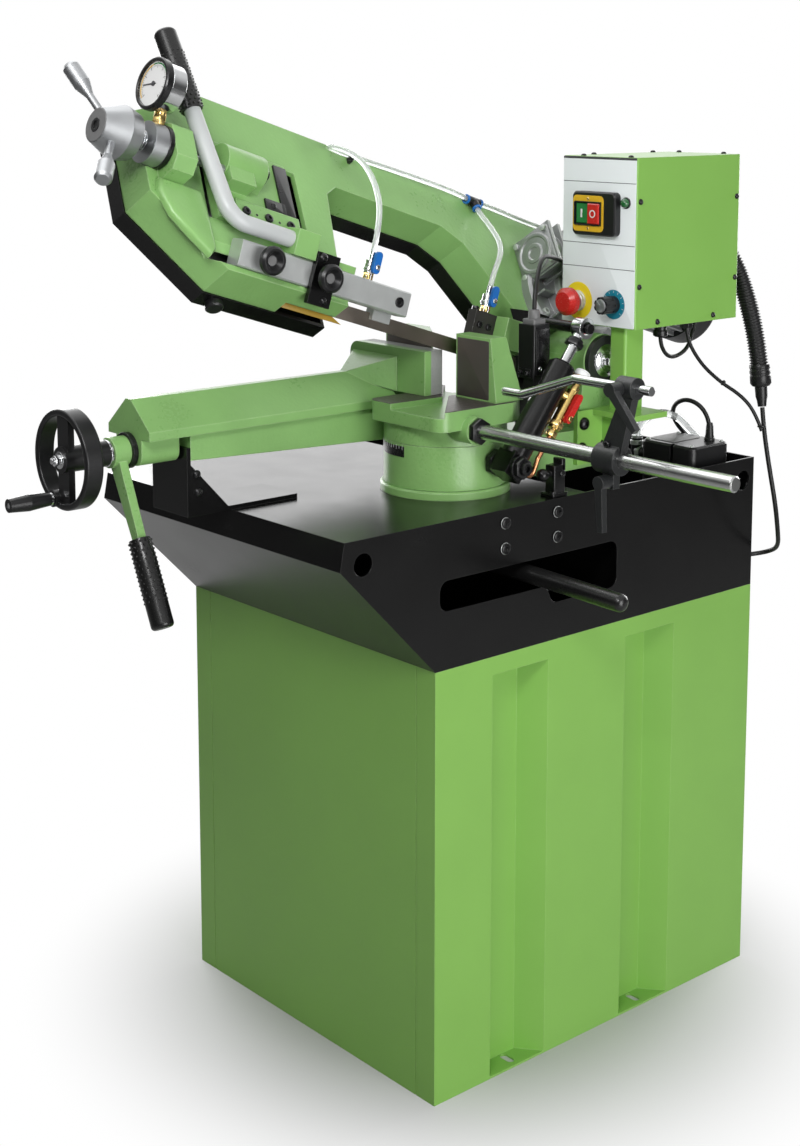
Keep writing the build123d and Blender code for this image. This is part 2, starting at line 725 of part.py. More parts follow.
def vise_beam():
    """Roof-shaped sliding beam with a deep front end that holds the screw."""
    half = BEAM_WIDTH / 2
    flat = BEAM_RIDGE_FLAT / 2
    outline = [
        (-half, BEAM_BOTTOM),
        (half, BEAM_BOTTOM),
        (half, BEAM_SHOULDER),
        (flat, BEAM_RIDGE),
        (-flat, BEAM_RIDGE),
        (-half, BEAM_SHOULDER),
    ]
    plane = Plane(origin=(BEAM_X, MOVING_JAW_FRONT, 0), x_dir=(1, 0, 0), z_dir=(0, -1, 0))
    length = MOVING_JAW_FRONT - BEAM_FRONT
    beam = prism(outline, plane, length)
    foot_half = RAIL_WIDTH / 2 - RAIL_WALL
    foot = block(
        BEAM_X - foot_half, BEAM_X + foot_half, BEAM_FRONT, BEAM_FRONT + BEAM_FOOT_LENGTH,
        BEAM_FOOT_BOTTOM, BEAM_BOTTOM,
    )
    foot = fillet(foot.edges().filter_by(Axis.Y).group_by(Axis.Z)[0], foot_half / 2)
    bearing = bar(
        (BEAM_X, BEAM_FRONT, SCREW_Z),
        (BEAM_X, BEAM_FRONT + BEAM_FOOT_LENGTH, SCREW_Z),
        SCREW_RADIUS + RUNNING_FIT,
    )
    gusset_plane = Plane(origin=(0, MOVING_JAW_FRONT, 0), x_dir=(1, 0, 0), z_dir=(0, -1, 0))
    shoulder = [
        (BEAM_X - half, TABLE_TOP + FACE_GAP),
        (BEAM_X + half, TABLE_TOP + FACE_GAP),
        (BEAM_X + half, TABLE_TOP + MOVING_JAW_HEIGHT * 0.8),
        (BEAM_X - half, TABLE_TOP + MOVING_JAW_HEIGHT * 0.8),
    ]
    gusset = loft([
        gusset_plane * make_face(Polyline(*shoulder, close=True)),
        gusset_plane.offset(60) * (Pos(BEAM_X, BEAM_RIDGE - 4) * Rectangle(BEAM_RIDGE_FLAT, 8)),
    ])
    return beam + foot + gusset - bearing


NODES["vise_beam"] = vise_beam()


def vise_jaw():
    """Cast jaw plate on the end of the beam, with rounded top corners."""
    mid = (MOVING_JAW_LEFT + MOVING_JAW_RIGHT) / 2
    low = TABLE_TOP + FACE_GAP
    face = Pos(mid, low + MOVING_JAW_HEIGHT / 2) * Rectangle(
        MOVING_JAW_RIGHT - MOVING_JAW_LEFT, MOVING_JAW_HEIGHT)
    face = fillet(face.vertices().sort_by(Axis.X)[:2].sort_by(Axis.Y)[-1:], MOVING_JAW_CORNER)
    plane = Plane(origin=(0, MOVING_JAW_FACE, 0), x_dir=(1, 0, 0), z_dir=(0, -1, 0))
    return extrude(plane * face, MOVING_JAW_THICKNESS)


NODES["vise_jaw"] = vise_jaw()

HANDWHEEL_PLANE = Plane(origin=(BEAM_X, HANDWHEEL_Y, SCREW_Z), x_dir=(1, 0, 0), z_dir=(0, -1, 0))
HUB_BACK = LEVER_Y - LEVER_HUB_LENGTH / 2 - FACE_GAP


def vise_screw():
    """Clamping screw with a thrust collar behind the beam's front end."""
    collar_front = BEAM_FRONT + BEAM_FOOT_LENGTH + FACE_GAP
    screw = bar((BEAM_X, HANDWHEEL_Y, SCREW_Z), (BEAM_X, HANDWHEEL_Y + SCREW_REACH, SCREW_Z), SCREW_RADIUS)
    clamp_room = RAIL_FRONT - BRACKET_PLATE - FACE_GAP - collar_front
    collar = bar(
        (BEAM_X, collar_front, SCREW_Z),
        (BEAM_X, collar_front + clamp_room / 2, SCREW_Z),
        SCREW_RADIUS * 1.6,
    )
    return screw + collar


NODES["vise_screw"] = vise_screw()


def vise_handwheel():
    """Moulded handwheel: a deep flat band, a bar of two spokes and a boss for the crank."""
    mid_radius = HANDWHEEL_RADIUS - HANDWHEEL_RIM
    band = RectangleRounded(HANDWHEEL_BAND, HANDWHEEL_RIM + HANDWHEEL_BACK, HANDWHEEL_BAND / 3)
    band_middle = HANDWHEEL_RADIUS - HANDWHEEL_BAND / 2
    rim = revolve(Plane.XZ * (Pos(band_middle, (HANDWHEEL_RIM - HANDWHEEL_BACK) / 2) * band), Axis.Z)
    hub_back = HUB_BACK - HANDWHEEL_Y
    hub = extrude(Circle(HANDWHEEL_HUB), HANDWHEEL_RIM)
    sleeve = Pos(0, 0, -hub_back) * extrude(Circle(HANDWHEEL_HUB), hub_back)
    wheel = rim + hub + sleeve
    for step in range(HANDWHEEL_SPOKES):
        spoke = Pos(band_middle / 2, 0, 0) * Box(band_middle, HANDWHEEL_SPOKE, HANDWHEEL_RIM)
        wheel += Rot(0, 0, 90 + step * 360 / HANDWHEEL_SPOKES) * spoke
    crank = math.radians(CRANK_ANGLE)
    boss = Pos(mid_radius * math.cos(crank), mid_radius * math.sin(crank), -HANDWHEEL_RIM)
    wheel += boss * extrude(Circle(CRANK_RADIUS), 2 * HANDWHEEL_RIM + 2)
    wheel += boss * extrude(Circle(CRANK_RADIUS / 3), 2 * HANDWHEEL_RIM + CRANK_LENGTH)
    wheel -= Pos(0, 0, -hub_back) * extrude(Circle(SCREW_RADIUS), hub_back)
    return HANDWHEEL_PLANE.location * wheel


NODES["vise_handwheel"] = vise_handwheel()


def crank_handle():
    """Turning grip on the handwheel's pin, tapered to both ends."""
    bore = CRANK_RADIUS / 3 + RUNNING_FIT
    start = HANDWHEEL_RIM + 2 + FACE_GAP
    profile = [
        (bore, start),
        (CRANK_RADIUS * 0.75, start),
        (CRANK_RADIUS, start + CRANK_LENGTH * 0.55),
        (CRANK_RADIUS * 0.8, start + CRANK_LENGTH),
        (bore, start + CRANK_LENGTH),
    ]
    body = revolve(Plane.XZ * make_face(Polyline(*profile, close=True)), Axis.Z)
    mid_radius = HANDWHEEL_RADIUS - HANDWHEEL_RIM
    crank = math.radians(CRANK_ANGLE)
    place = Pos(mid_radius * math.cos(crank), mid_radius * math.sin(crank), 0)
    return HANDWHEEL_PLANE.location * (place * body)


NODES["crank_handle"] = crank_handle()

LEVER_PLANE = Plane(
    origin=(BEAM_X, LEVER_Y, SCREW_Z),
    x_dir=(math.sin(math.radians(LEVER_LEAN)), 0, -math.cos(math.radians(LEVER_LEAN))),
    z_dir=(0, -1, 0),
)
TANG = 30.0


def clamp_lever():
    """Quick-clamp lever: a ring on the screw and a tapered arm with a tang."""
    hub = Pos(0, 0, -LEVER_HUB_LENGTH / 2) * extrude(Circle(LEVER_HUB), LEVER_HUB_LENGTH)
    arm = prism(
        [
            (0, -LEVER_WIDE / 2),
            (LEVER_LENGTH, -LEVER_NARROW / 2),
            (LEVER_LENGTH, LEVER_NARROW / 2),
            (0, LEVER_WIDE / 2),
        ],
        Plane.XY.offset(-LEVER_THICK / 2),
        LEVER_THICK,
    )
    tang = bar((LEVER_LENGTH - 1, 0, 0), (LEVER_LENGTH + TANG, 0, 0), LEVER_THICK / 3)
    bore = Pos(0, 0, -LEVER_HUB_LENGTH) * extrude(Circle(SCREW_RADIUS + RUNNING_FIT), 2 * LEVER_HUB_LENGTH)
    return LEVER_PLANE.location * (hub + arm + tang - bore)


NODES["clamp_lever"] = clamp_lever()


def hand_grip(length, inside, depth):
    """Moulded grip with a rounded end, a collar and a blind socket."""
    edge = GRIP_RADIUS / 3
    profile = make_face(Polyline(
        (0, 0),
        (GRIP_RADIUS * 0.92, 0),
        (GRIP_RADIUS, length * 0.25),
        (GRIP_RADIUS, length),
        (0, length),
        close=True,
    ))
    grip = revolve(Plane.XZ * profile, Axis.Z)
    grip = fillet(grip.edges().filter_by(GeomType.CIRCLE).group_by(Axis.Z)[-1], edge)
    return grip - extrude(Circle(inside), depth)


def clamp_lever_grip():
    grip = hand_grip(GRIP_LENGTH, LEVER_THICK / 3, TANG)
    turn = Plane(origin=(LEVER_LENGTH, 0, 0), z_dir=(1, 0, 0))
    return LEVER_PLANE.location * (turn.location * grip)


NODES["clamp_lever_grip"] = clamp_lever_grip()


# Length stop

def stop_rod():
    start = TABLE_RIGHT - 2 * STOP_BOSS_LENGTH
    rod = bar((start, STOP_ROD_Y, STOP_ROD_Z), (STOP_ROD_END, STOP_ROD_Y, STOP_ROD_Z), STOP_ROD_RADIUS)
    return chamfer(rod.edges().group_by(Axis.X)[-1], STOP_ROD_RADIUS / 6)


NODES["stop_rod"] = stop_rod()

FINGER_Z = STOP_ROD_Z + STOP_ARM_RISE
FINGER_X = STOP_ARM_X + STOP_ARM_OFFSET


def stop_arm():
    """Cast arm with a split ring on the rod and a barrel for the finger."""
    half = STOP_ARM_WIDTH / 2
    ring = bar(
        (STOP_ARM_X - half, STOP_ROD_Y, STOP_ROD_Z),
        (STOP_ARM_X + half, STOP_ROD_Y, STOP_ROD_Z),
        STOP_RING_RADIUS,
    )
    barrel = bar(
        (FINGER_X - half, STOP_ROD_Y, FINGER_Z),
        (FINGER_X + half / 2, STOP_ROD_Y, FINGER_Z),
        FINGER_CLAMP_RADIUS,
    )
    plane = Plane(origin=(0, STOP_ROD_Y + STOP_ARM_THICK / 2, 0), x_dir=(1, 0, 0), z_dir=(0, -1, 0))
    web = prism(
        [
            (STOP_ARM_X - half, STOP_ROD_Z),
            (STOP_ARM_X + half, STOP_ROD_Z),
            (FINGER_X + half / 2, FINGER_Z),
            (FINGER_X - half / 2, FINGER_Z),
        ],
        plane,
        STOP_ARM_THICK,
    )
    lug_low = STOP_ROD_Z - STOP_RING_RADIUS - 2 * CLAMP_HUB_RADIUS
    lug = block(
        STOP_ARM_X - half / 2, STOP_ARM_X + half / 2,
        STOP_ROD_Y - STOP_ARM_THICK / 2, STOP_ROD_Y + STOP_ARM_THICK / 2, lug_low, STOP_ROD_Z,
    )
    arm = ring + barrel + web + lug
    arm -= bar(
        (STOP_ARM_X - 2 * half, STOP_ROD_Y, STOP_ROD_Z),
        (STOP_ARM_X + 2 * half, STOP_ROD_Y, STOP_ROD_Z),
        STOP_ROD_RADIUS + RUNNING_FIT,
    )
    arm -= bar(
        (FINGER_X - 2 * half, STOP_ROD_Y, FINGER_Z),
        (FINGER_X + 2 * half, STOP_ROD_Y, FINGER_Z),
        FINGER_RADIUS + RUNNING_FIT,
    )
    return arm


NODES["stop_arm"] = stop_arm()


def stop_finger():
    """Bent round finger that slides in the stop arm."""
    points = [
        (FINGER_RIGHT, STOP_ROD_Y, FINGER_Z),
        (FINGER_BEND, STOP_ROD_Y, FINGER_Z),
        (FINGER_DROP_END, STOP_ROD_Y, FINGER_Z - FINGER_DROP),
        (FINGER_TIP, STOP_ROD_Y, FINGER_Z - FINGER_DROP),
    ]
    path = FilletPolyline(*points, radius=3 * FINGER_RADIUS)
    return sweep(Plane(origin=path @ 0, z_dir=path % 0) * Circle(FINGER_RADIUS), path=path)


NODES["stop_finger"] = stop_finger()


def clamp_handle(angle):
    """Small clamping handle: a hub with a stud and a tapered arm."""
    hub = extrude(Circle(CLAMP_HUB_RADIUS), 2 * CLAMP_HUB_RADIUS)
    arm = prism(
        [
            (0, -CLAMP_HUB_RADIUS * 0.7),
            (CLAMP_LEVER_LENGTH, -CLAMP_HUB_RADIUS * 0.45),
            (CLAMP_LEVER_LENGTH, CLAMP_HUB_RADIUS * 0.45),
            (0, CLAMP_HUB_RADIUS * 0.7),
        ],
        Plane.XY.offset(CLAMP_HUB_RADIUS),
        CLAMP_HUB_RADIUS,
    )
    return Rot(0, 0, angle) * (hub + arm)


def finger_clamp_lever():
    """Handle on the front of the finger's barrel."""
    front = STOP_ROD_Y - FINGER_CLAMP_RADIUS - FACE_GAP
    place = along_y(FINGER_X - STOP_ARM_WIDTH / 4, front, FINGER_Z)
    return place.location * clamp_handle(-48)


NODES["finger_clamp_lever"] = finger_clamp_lever()


def rod_clamp_lever():
    """Handle on the lug under the stop arm's ring, hanging down."""
    front = STOP_ROD_Y - STOP_ARM_THICK / 2 - FACE_GAP
    low = STOP_ROD_Z - STOP_RING_RADIUS - CLAMP_HUB_RADIUS
    place = along_y(STOP_ARM_X, front, low)
    return place.location * clamp_handle(-86)


NODES["rod_clamp_lever"] = rod_clamp_lever()


# Rotation lock lever

def lock_lever():
    """Bar with a rounded end, on a hub under the turntable."""
    hub_top = TRAY_TOP - TRAY_PLATE - FACE_GAP
    hub = Pos(TURN_X, TURN_Y, LOCK_Z - LOCK_HUB_RADIUS / 2) * extrude(
        Circle(LOCK_HUB_RADIUS), hub_top - LOCK_Z + LOCK_HUB_RADIUS / 2)
    start = (TURN_X, TURN_Y, LOCK_Z)
    end = (LOCK_REACH, LOCK_Y, LOCK_Z - LOCK_DROP)
    lever = bar(start, end, LOCK_RADIUS)
    tip = lever.edges().filter_by(GeomType.CIRCLE).sort_by(Axis.X)[-1]
    lever = fillet(tip, LOCK_RADIUS * 0.8)
    return hub + lever


NODES["lock_lever"] = lock_lever()


# Coolant pump

def coolant_pump():
    """Dip pump: a motor block over the tank and a round pump body below."""
    width = PUMP_RIGHT - PUMP_LEFT
    depth = PUMP_REAR - PUMP_FRONT
    mid_x = (PUMP_LEFT + PUMP_RIGHT) / 2
    mid_y = (PUMP_FRONT + PUMP_REAR) / 2
    lower = TRAY_TOP - 40
    body = Pos(mid_x, mid_y, lower) * extrude(RectangleRounded(width, depth, PUMP_CORNER), PUMP_TOP - lower)
    body = chamfer(body.edges().group_by(Axis.Z)[-1], 3)
    notch = block(mid_x + 8, mid_x + 14, PUMP_FRONT - 1, PUMP_FRONT + 7, lower, PUMP_TOP + 1)
    foot = bar((mid_x, mid_y, TRAY_BOTTOM + TRAY_WALL), (mid_x, mid_y, lower), depth / 3)
    flange = block(PUMP_LEFT - 6, CABINET_WIDTH / 2 - TRAY_WALL, PUMP_FRONT + 20, PUMP_REAR - 20, lower, lower + 4)
    outlet_y = PUMP_FRONT + 18
    outlet = bar((PUMP_LEFT - 22, outlet_y, TRAY_TOP), (PUMP_LEFT + 1, outlet_y, TRAY_TOP), 9)
    riser = bar((PUMP_LEFT - 22, outlet_y, TRAY_TOP - 8), (PUMP_LEFT - 22, outlet_y, TRAY_TOP + 22), 9)
    gland = bar((PUMP_RIGHT - 24, PUMP_REAR - 20, PUMP_TOP - 1), (PUMP_RIGHT - 24, PUMP_REAR - 20, PUMP_TOP + 8), 7)
    return body - notch + foot + flange + outlet + riser + gland


NODES["coolant_pump"] = coolant_pump()


def pump_lines():
    """Clear hose from the pump's outlet, and the pump's looped cable."""
    x = PUMP_LEFT - 22
    y = PUMP_FRONT + 18
    top = TRAY_TOP + 22
    clear = hose(
        [
            (x, y, top),
            (x, y, top + 20),
            (x + 16, y + 18, top + 36),
            (x + 34, y + 46, top + 32),
            (x + 40, y + 76, top + 4),
            (x + 40, TRAY_REAR - TRAY_WALL, top - 10),
        ],
        CLEAR_HOSE_RADIUS * 1.5,
    )
    x = PUMP_RIGHT - 24
    y = PUMP_REAR - 20
    top = PUMP_TOP + 8
    cable = hose(
        [
            (x, y, top),
            (x, y, top + 20),
            (x - 12, y - 4, top + 42),
            (x - 36, y - 12, top + 52),
            (x - 60, y - 14, top + 44),
            (x - 72, y + 4, top + 18),
            (x - 74, y + 30, top - 14),
            (x - 74, TRAY_REAR - TRAY_WALL, top - 26),
        ],
        CABLE_RADIUS,
    )
    return Compound([clear, cable])


NODES["pump_lines"] = pump_lines()


# Turntable arm with the hinge pedestal

DRUM_BOTTOM = RING_TOP + FACE_GAP
ARM_BOTTOM = DRUM_BOTTOM + ARM_BOTTOM_LIFT


def turntable_arm():
    """Drum on the column, swept arm to the rear and the hinge pedestal."""
    drum_height = DRUM_TOP - FACE_GAP - DRUM_BOTTOM
    drum = Pos(TURN_X, TURN_Y, DRUM_BOTTOM) * Rot(0, 0, 200) * extrude(Circle(DRUM_RADIUS), drum_height)
    arm = prism(
        [
            (TURN_X - DRUM_RADIUS * 0.45, TURN_Y + DRUM_RADIUS * 0.7),
            (TURN_X + DRUM_RADIUS * 0.9, TURN_Y + DRUM_RADIUS * 0.2),
            (PEDESTAL_RIGHT, PIVOT_Y - PEDESTAL_RADIUS * 1.8),
            (PEDESTAL_RIGHT, PIVOT_Y + PEDESTAL_RADIUS * 1.2),
            (PEDESTAL_LEFT - 30, PIVOT_Y + PEDESTAL_RADIUS * 1.2),
        ],
        Plane.XY.offset(ARM_BOTTOM),
        DRUM_TOP - FACE_GAP - ARM_BOTTOM,
    )
    pedestal_plane = Plane(origin=(PEDESTAL_LEFT, 0, 0), x_dir=(0, 1, 0), z_dir=(1, 0, 0))
    width = PEDESTAL_RIGHT - PEDESTAL_LEFT
    head = bar((PEDESTAL_LEFT, PIVOT_Y, PIVOT_Z), (PEDESTAL_RIGHT, PIVOT_Y, PIVOT_Z), PEDESTAL_RADIUS)
    upright = prism(
        [
            (PIVOT_Y - PEDESTAL_RADIUS * 1.5, ARM_BOTTOM + 10),
            (PIVOT_Y + PEDESTAL_RADIUS, ARM_BOTTOM + 10),
            (PIVOT_Y + PEDESTAL_RADIUS * 0.9, PIVOT_Z),
            (PIVOT_Y - PEDESTAL_RADIUS * 0.9, PIVOT_Z),
        ],
        pedestal_plane,
        width,
    )
    foot_y, foot_z = CYLINDER_FOOT
    stub = bar((TURN_X + DRUM_RADIUS * 0.8, foot_y, foot_z), (CYLINDER_X + CYLINDER_RADIUS, foot_y, foot_z), CYLINDER_PIN)
    arm_casting = drum + arm + head + upright + stub
    arm_casting -= Pos(TURN_X, TURN_Y, DRUM_BOTTOM - 1) * extrude(Circle(BORE_RADIUS), DRUM_TOP)
    arm_casting -= bar(
        (PEDESTAL_LEFT - 1, PIVOT_Y, PIVOT_Z), (PEDESTAL_RIGHT + 1, PIVOT_Y, PIVOT_Z),
        PIVOT_PIN_RADIUS + RUNNING_FIT,
    )
    return arm_casting


NODES["turntable_arm"] = turntable_arm()


def post_bracket():
    """Welded bracket bolted to the pedestal, with the post of the control box."""
    left = PEDESTAL_RIGHT
    plate = block(left, left + POST_PLATE, POST_PLATE_FRONT, POST_PLATE_REAR, POST_PLATE_BOTTOM, POST_FLANGE_TOP)
    flange_low = POST_FLANGE_TOP - POST_PLATE
    shelf = block(
        left, POST_FLANGE_RIGHT, POST_Y - POST_DEPTH, POST_PLATE_REAR, flange_low, POST_FLANGE_TOP)
    gusset_plane = Plane(origin=(0, POST_Y - POST_DEPTH / 2, 0), x_dir=(1, 0, 0), z_dir=(0, 1, 0))
    gusset = prism(
        [(left, -flange_low), (left + 60, -flange_low), (left, -flange_low + 52)],
        gusset_plane,
        POST_PLATE,
    )
    post = Pos(POST_X, POST_Y, POST_FLANGE_TOP) * extrude(
        RectangleRounded(POST_WIDTH, POST_DEPTH, 4), BOX_BOTTOM - POST_FLANGE_TOP)
    return plate + shelf + gusset + post


NODES["post_bracket"] = post_bracket()


# Control box with switch, buttons and knobs

def control_box():
    """Folded sheet box; its front carries the controls."""
    body = block(BOX_LEFT, BOX_RIGHT, BOX_FRONT, BOX_REAR, BOX_BOTTOM, BOX_TOP)
    body = fillet(body.edges().filter_by(Axis.Z), 3)
    for x, radius in ((ESTOP_X, ESTOP_RADIUS * 0.4), (SPEED_X, KNOB_DIAL_RADIUS * 0.25)):
        body -= bar((x, BOX_FRONT - 1, ESTOP_Z), (x, BOX_FRONT + 24, ESTOP_Z), radius)
    return body


NODES["control_box"] = control_box()

START_X = SWITCH_X - SWITCH_WIDTH * 0.26
STOP_X = SWITCH_X + SWITCH_WIDTH * 0.04
SWITCH_FACE = BOX_FRONT - SWITCH_DEPTH


def switch_frame():
    """Moulded switch body with two pockets for the buttons."""
    frame = block(
        SWITCH_X - SWITCH_WIDTH / 2, SWITCH_X + SWITCH_WIDTH / 2, SWITCH_FACE, BOX_FRONT,
        SWITCH_Z - SWITCH_HEIGHT / 2, SWITCH_Z + SWITCH_HEIGHT / 2,
    )
    frame = fillet(frame.edges().filter_by(Axis.Y), 8)
    frame = chamfer(frame.edges().group_by(Axis.Y)[0], 2)
    for x in (START_X, STOP_X):
        frame -= block(
            x - BUTTON_WIDTH / 2 - BUTTON_GAP, x + BUTTON_WIDTH / 2 + BUTTON_GAP,
            SWITCH_FACE - 1, SWITCH_FACE + BUTTON_DEPTH + BUTTON_TRAVEL,
            SWITCH_Z - BUTTON_HEIGHT / 2 - BUTTON_GAP, SWITCH_Z + BUTTON_HEIGHT / 2 + BUTTON_GAP,
        )
    return frame


NODES["switch_frame"] = switch_frame()


def push_button(x, proud):
    """Rectangular push button that slides into the switch body."""
    back = SWITCH_FACE + BUTTON_DEPTH - FACE_GAP
    button = block(
        x - BUTTON_WIDTH / 2, x + BUTTON_WIDTH / 2, SWITCH_FACE - proud, back,
        SWITCH_Z - BUTTON_HEIGHT / 2, SWITCH_Z + BUTTON_HEIGHT / 2,
    )
    return chamfer(button.edges().group_by(Axis.Y)[0], 1.5)


NODES["start_button"] = push_button(START_X, 1.0)
NODES["stop_button"] = push_button(STOP_X, 5.0)


def estop_button():
    """Mushroom button on a stem."""
    front = BOX_FRONT - 34
    profile = make_face(Polyline(
        (0, 0),
        (ESTOP_RADIUS * 0.7, 0),
        (ESTOP_RADIUS, 6),
        (ESTOP_RADIUS, 15),
        (ESTOP_RADIUS * 0.4 - RUNNING_FIT, 18),
        (ESTOP_RADIUS * 0.4 - RUNNING_FIT, 50),
        (0, 50),
        close=True,
    ))
    body = revolve(Plane.XZ * profile, Axis.Z)
    place = Plane(origin=(ESTOP_X, front, ESTOP_Z), x_dir=(1, 0, 0), z_dir=(0, 1, 0))
    return place.location * body


NODES["estop_button"] = estop_button()


def speed_knob():
    """Fluted knob on a spindle."""
    front = BOX_FRONT - 28
    length = 28 - FACE_GAP
    knob = extrude(Circle(KNOB_DIAL_RADIUS), length)
    for step in range(8):
        angle = math.radians(step * 45)
        flute = Pos(1.1 * KNOB_DIAL_RADIUS * math.cos(angle), 1.1 * KNOB_DIAL_RADIUS * math.sin(angle), -1)
        knob -= flute * extrude(Circle(KNOB_DIAL_RADIUS * 0.22), length * 0.7)
    knob += extrude(Circle(KNOB_DIAL_RADIUS * 0.25 - RUNNING_FIT), length + 20)
    place = Plane(origin=(SPEED_X, front, ESTOP_Z), x_dir=(1, 0, 0), z_dir=(0, 1, 0))
    return place.location * knob


NODES["speed_knob"] = speed_knob()


def limit_switch():
    """Limit switch on an upright bracket that stands on the arm."""
    bracket = block(LIMIT_X - 8, LIMIT_X - 2, LIMIT_Y - 14, LIMIT_Y + 14, DRUM_TOP - FACE_GAP, LIMIT_BOTTOM + 30)
    body = block(LIMIT_X - 2, LIMIT_X + 30, LIMIT_Y - 16, LIMIT_Y + 16, LIMIT_BOTTOM, LIMIT_BOTTOM + LIMIT_HEIGHT)
    body = fillet(body.edges().filter_by(Axis.Z), 3)
    head = block(LIMIT_X + 4, LIMIT_X + 24, LIMIT_Y - 10, LIMIT_Y + 10, LIMIT_BOTTOM - 14, LIMIT_BOTTOM)
    top = LIMIT_BOTTOM + LIMIT_HEIGHT
    gland = bar((LIMIT_X + 14, LIMIT_Y, top), (LIMIT_X + 14, LIMIT_Y, top + 14), 8)
    return bracket + body + head + gland


NODES["limit_switch"] = limit_switch()


# Feed cylinder

def cylinder_place():
    """Plane at the foot pin whose normal runs along the cylinder."""
    foot_y, foot_z = CYLINDER_FOOT
    head_y, head_z = CYLINDER_HEAD
    return Plane(
        origin=(CYLINDER_X, foot_y, foot_z),
        x_dir=(1, 0, 0),
        z_dir=(0, head_y - foot_y, head_z - foot_z),
    )


CYLINDER_PLANE = cylinder_place()
CYLINDER_SPAN = math.dist(CYLINDER_FOOT, CYLINDER_HEAD)


def feed_cylinder():
    """Feed cylinder: a foot block on its pin, the tube and its end cap."""
    foot = Box(2 * CYLINDER_RADIUS - 8, 34, 34)
    tube = Pos(0, 0, 14) * extrude(Circle(CYLINDER_RADIUS), CYLINDER_TUBE_END - 14)
    tube = chamfer(tube.edges().filter_by(GeomType.CIRCLE).sort_by(Axis.Z)[-1], 4)
    body = foot + tube
    body -= bar((-60, 0, 0), (60, 0, 0), CYLINDER_PIN + RUNNING_FIT)
    body -= Pos(0, 0, CYLINDER_TUBE_END - 90) * extrude(Circle(PISTON_ROD_RADIUS + RUNNING_FIT), 200)
    return CYLINDER_PLANE.location * body


NODES["feed_cylinder"] = feed_cylinder()

VALVE_X = 14.0
VALVE_Y = 28.0
VALVE_LOW = 78.0


def feed_valve():
    """Brass valve beside the tube, with its pipe to the foot."""
    barrel = Pos(VALVE_X, VALVE_Y, VALVE_LOW) * extrude(Circle(9), 62)
    neck = Pos(VALVE_X, VALVE_Y, VALVE_LOW + 62) * extrude(Circle(5), 26)
    knob = Pos(VALVE_X, VALVE_Y, VALVE_LOW + 84) * extrude(Circle(10), 9)
    bridge = bar((0, 0, VALVE_LOW + 50), (VALVE_X, VALVE_Y, VALVE_LOW + 50), 7)
    path = FilletPolyline(
        (VALVE_X, VALVE_Y, VALVE_LOW),
        (VALVE_X, VALVE_Y, 30),
        (VALVE_X - 2, VALVE_Y + 8, 2),
        (VALVE_X - 4, 0, 2),
        radius=8,
    )
    pipe = sweep(Plane(origin=path @ 0, z_dir=path % 0) * Circle(3.5), path=path)
    tube = Pos(0, 0, 14) * extrude(Circle(CYLINDER_RADIUS), CYLINDER_TUBE_END - 14)
    valve = barrel + neck + knob + bridge + pipe - tube - Box(2 * CYLINDER_RADIUS - 8, 34, 34)
    lever_z = VALVE_LOW + 20
    lever_pin = bar((VALVE_X, VALVE_Y, lever_z), (VALVE_X + 22, VALVE_Y, lever_z), 3)
    return CYLINDER_PLANE.location * (valve + lever_pin)


NODES["feed_valve"] = feed_valve()


def valve_lever():
    """Small lever on the valve's spindle."""
    lever_z = VALVE_LOW + 20
    plane = Plane(origin=(VALVE_X + 12, VALVE_Y, lever_z + 16), x_dir=(0, 0, 1), z_dir=(1, 0, 0))
    lever = extrude(plane * SlotOverall(46, 10), 7)
    lever -= bar((VALVE_X, VALVE_Y, lever_z), (VALVE_X + 30, VALVE_Y, lever_z), 3 + RUNNING_FIT)
    return CYLINDER_PLANE.location * lever


NODES["valve_lever"] = valve_lever()


def piston_rod():
    """Polished rod with a wide eye round the bow's lift pin."""
    start = CYLINDER_TUBE_END - 55
    rod = Pos(0, 0, start) * extrude(Circle(PISTON_ROD_RADIUS), CYLINDER_SPAN - start)
    eye = bar((-9, 0, CYLINDER_SPAN), (9, 0, CYLINDER_SPAN), ROD_EYE_RADIUS)
    hole = bar((-40, 0, CYLINDER_SPAN), (40, 0, CYLINDER_SPAN), ROD_EYE_BORE)
    return CYLINDER_PLANE.location * (rod + eye - hole)


NODES["piston_rod"] = piston_rod()


# Cables at the back of the control box

CONDUIT_ROUTE = [
    (232, BOX_REAR, 1140),
    (232, BOX_REAR + 30, 1140),
    (244, BOX_REAR + 50, 1112),
    (264, BOX_REAR + 54, 1066),
    (284, BOX_REAR + 52, 1014),
    (298, BOX_REAR + 50, 960),
    (302, BOX_REAR + 49, 930),
]
BUNDLE_X, BUNDLE_Y, BUNDLE_Z = CONDUIT_ROUTE[-1]
SLEEVE_LENGTH = 36.0


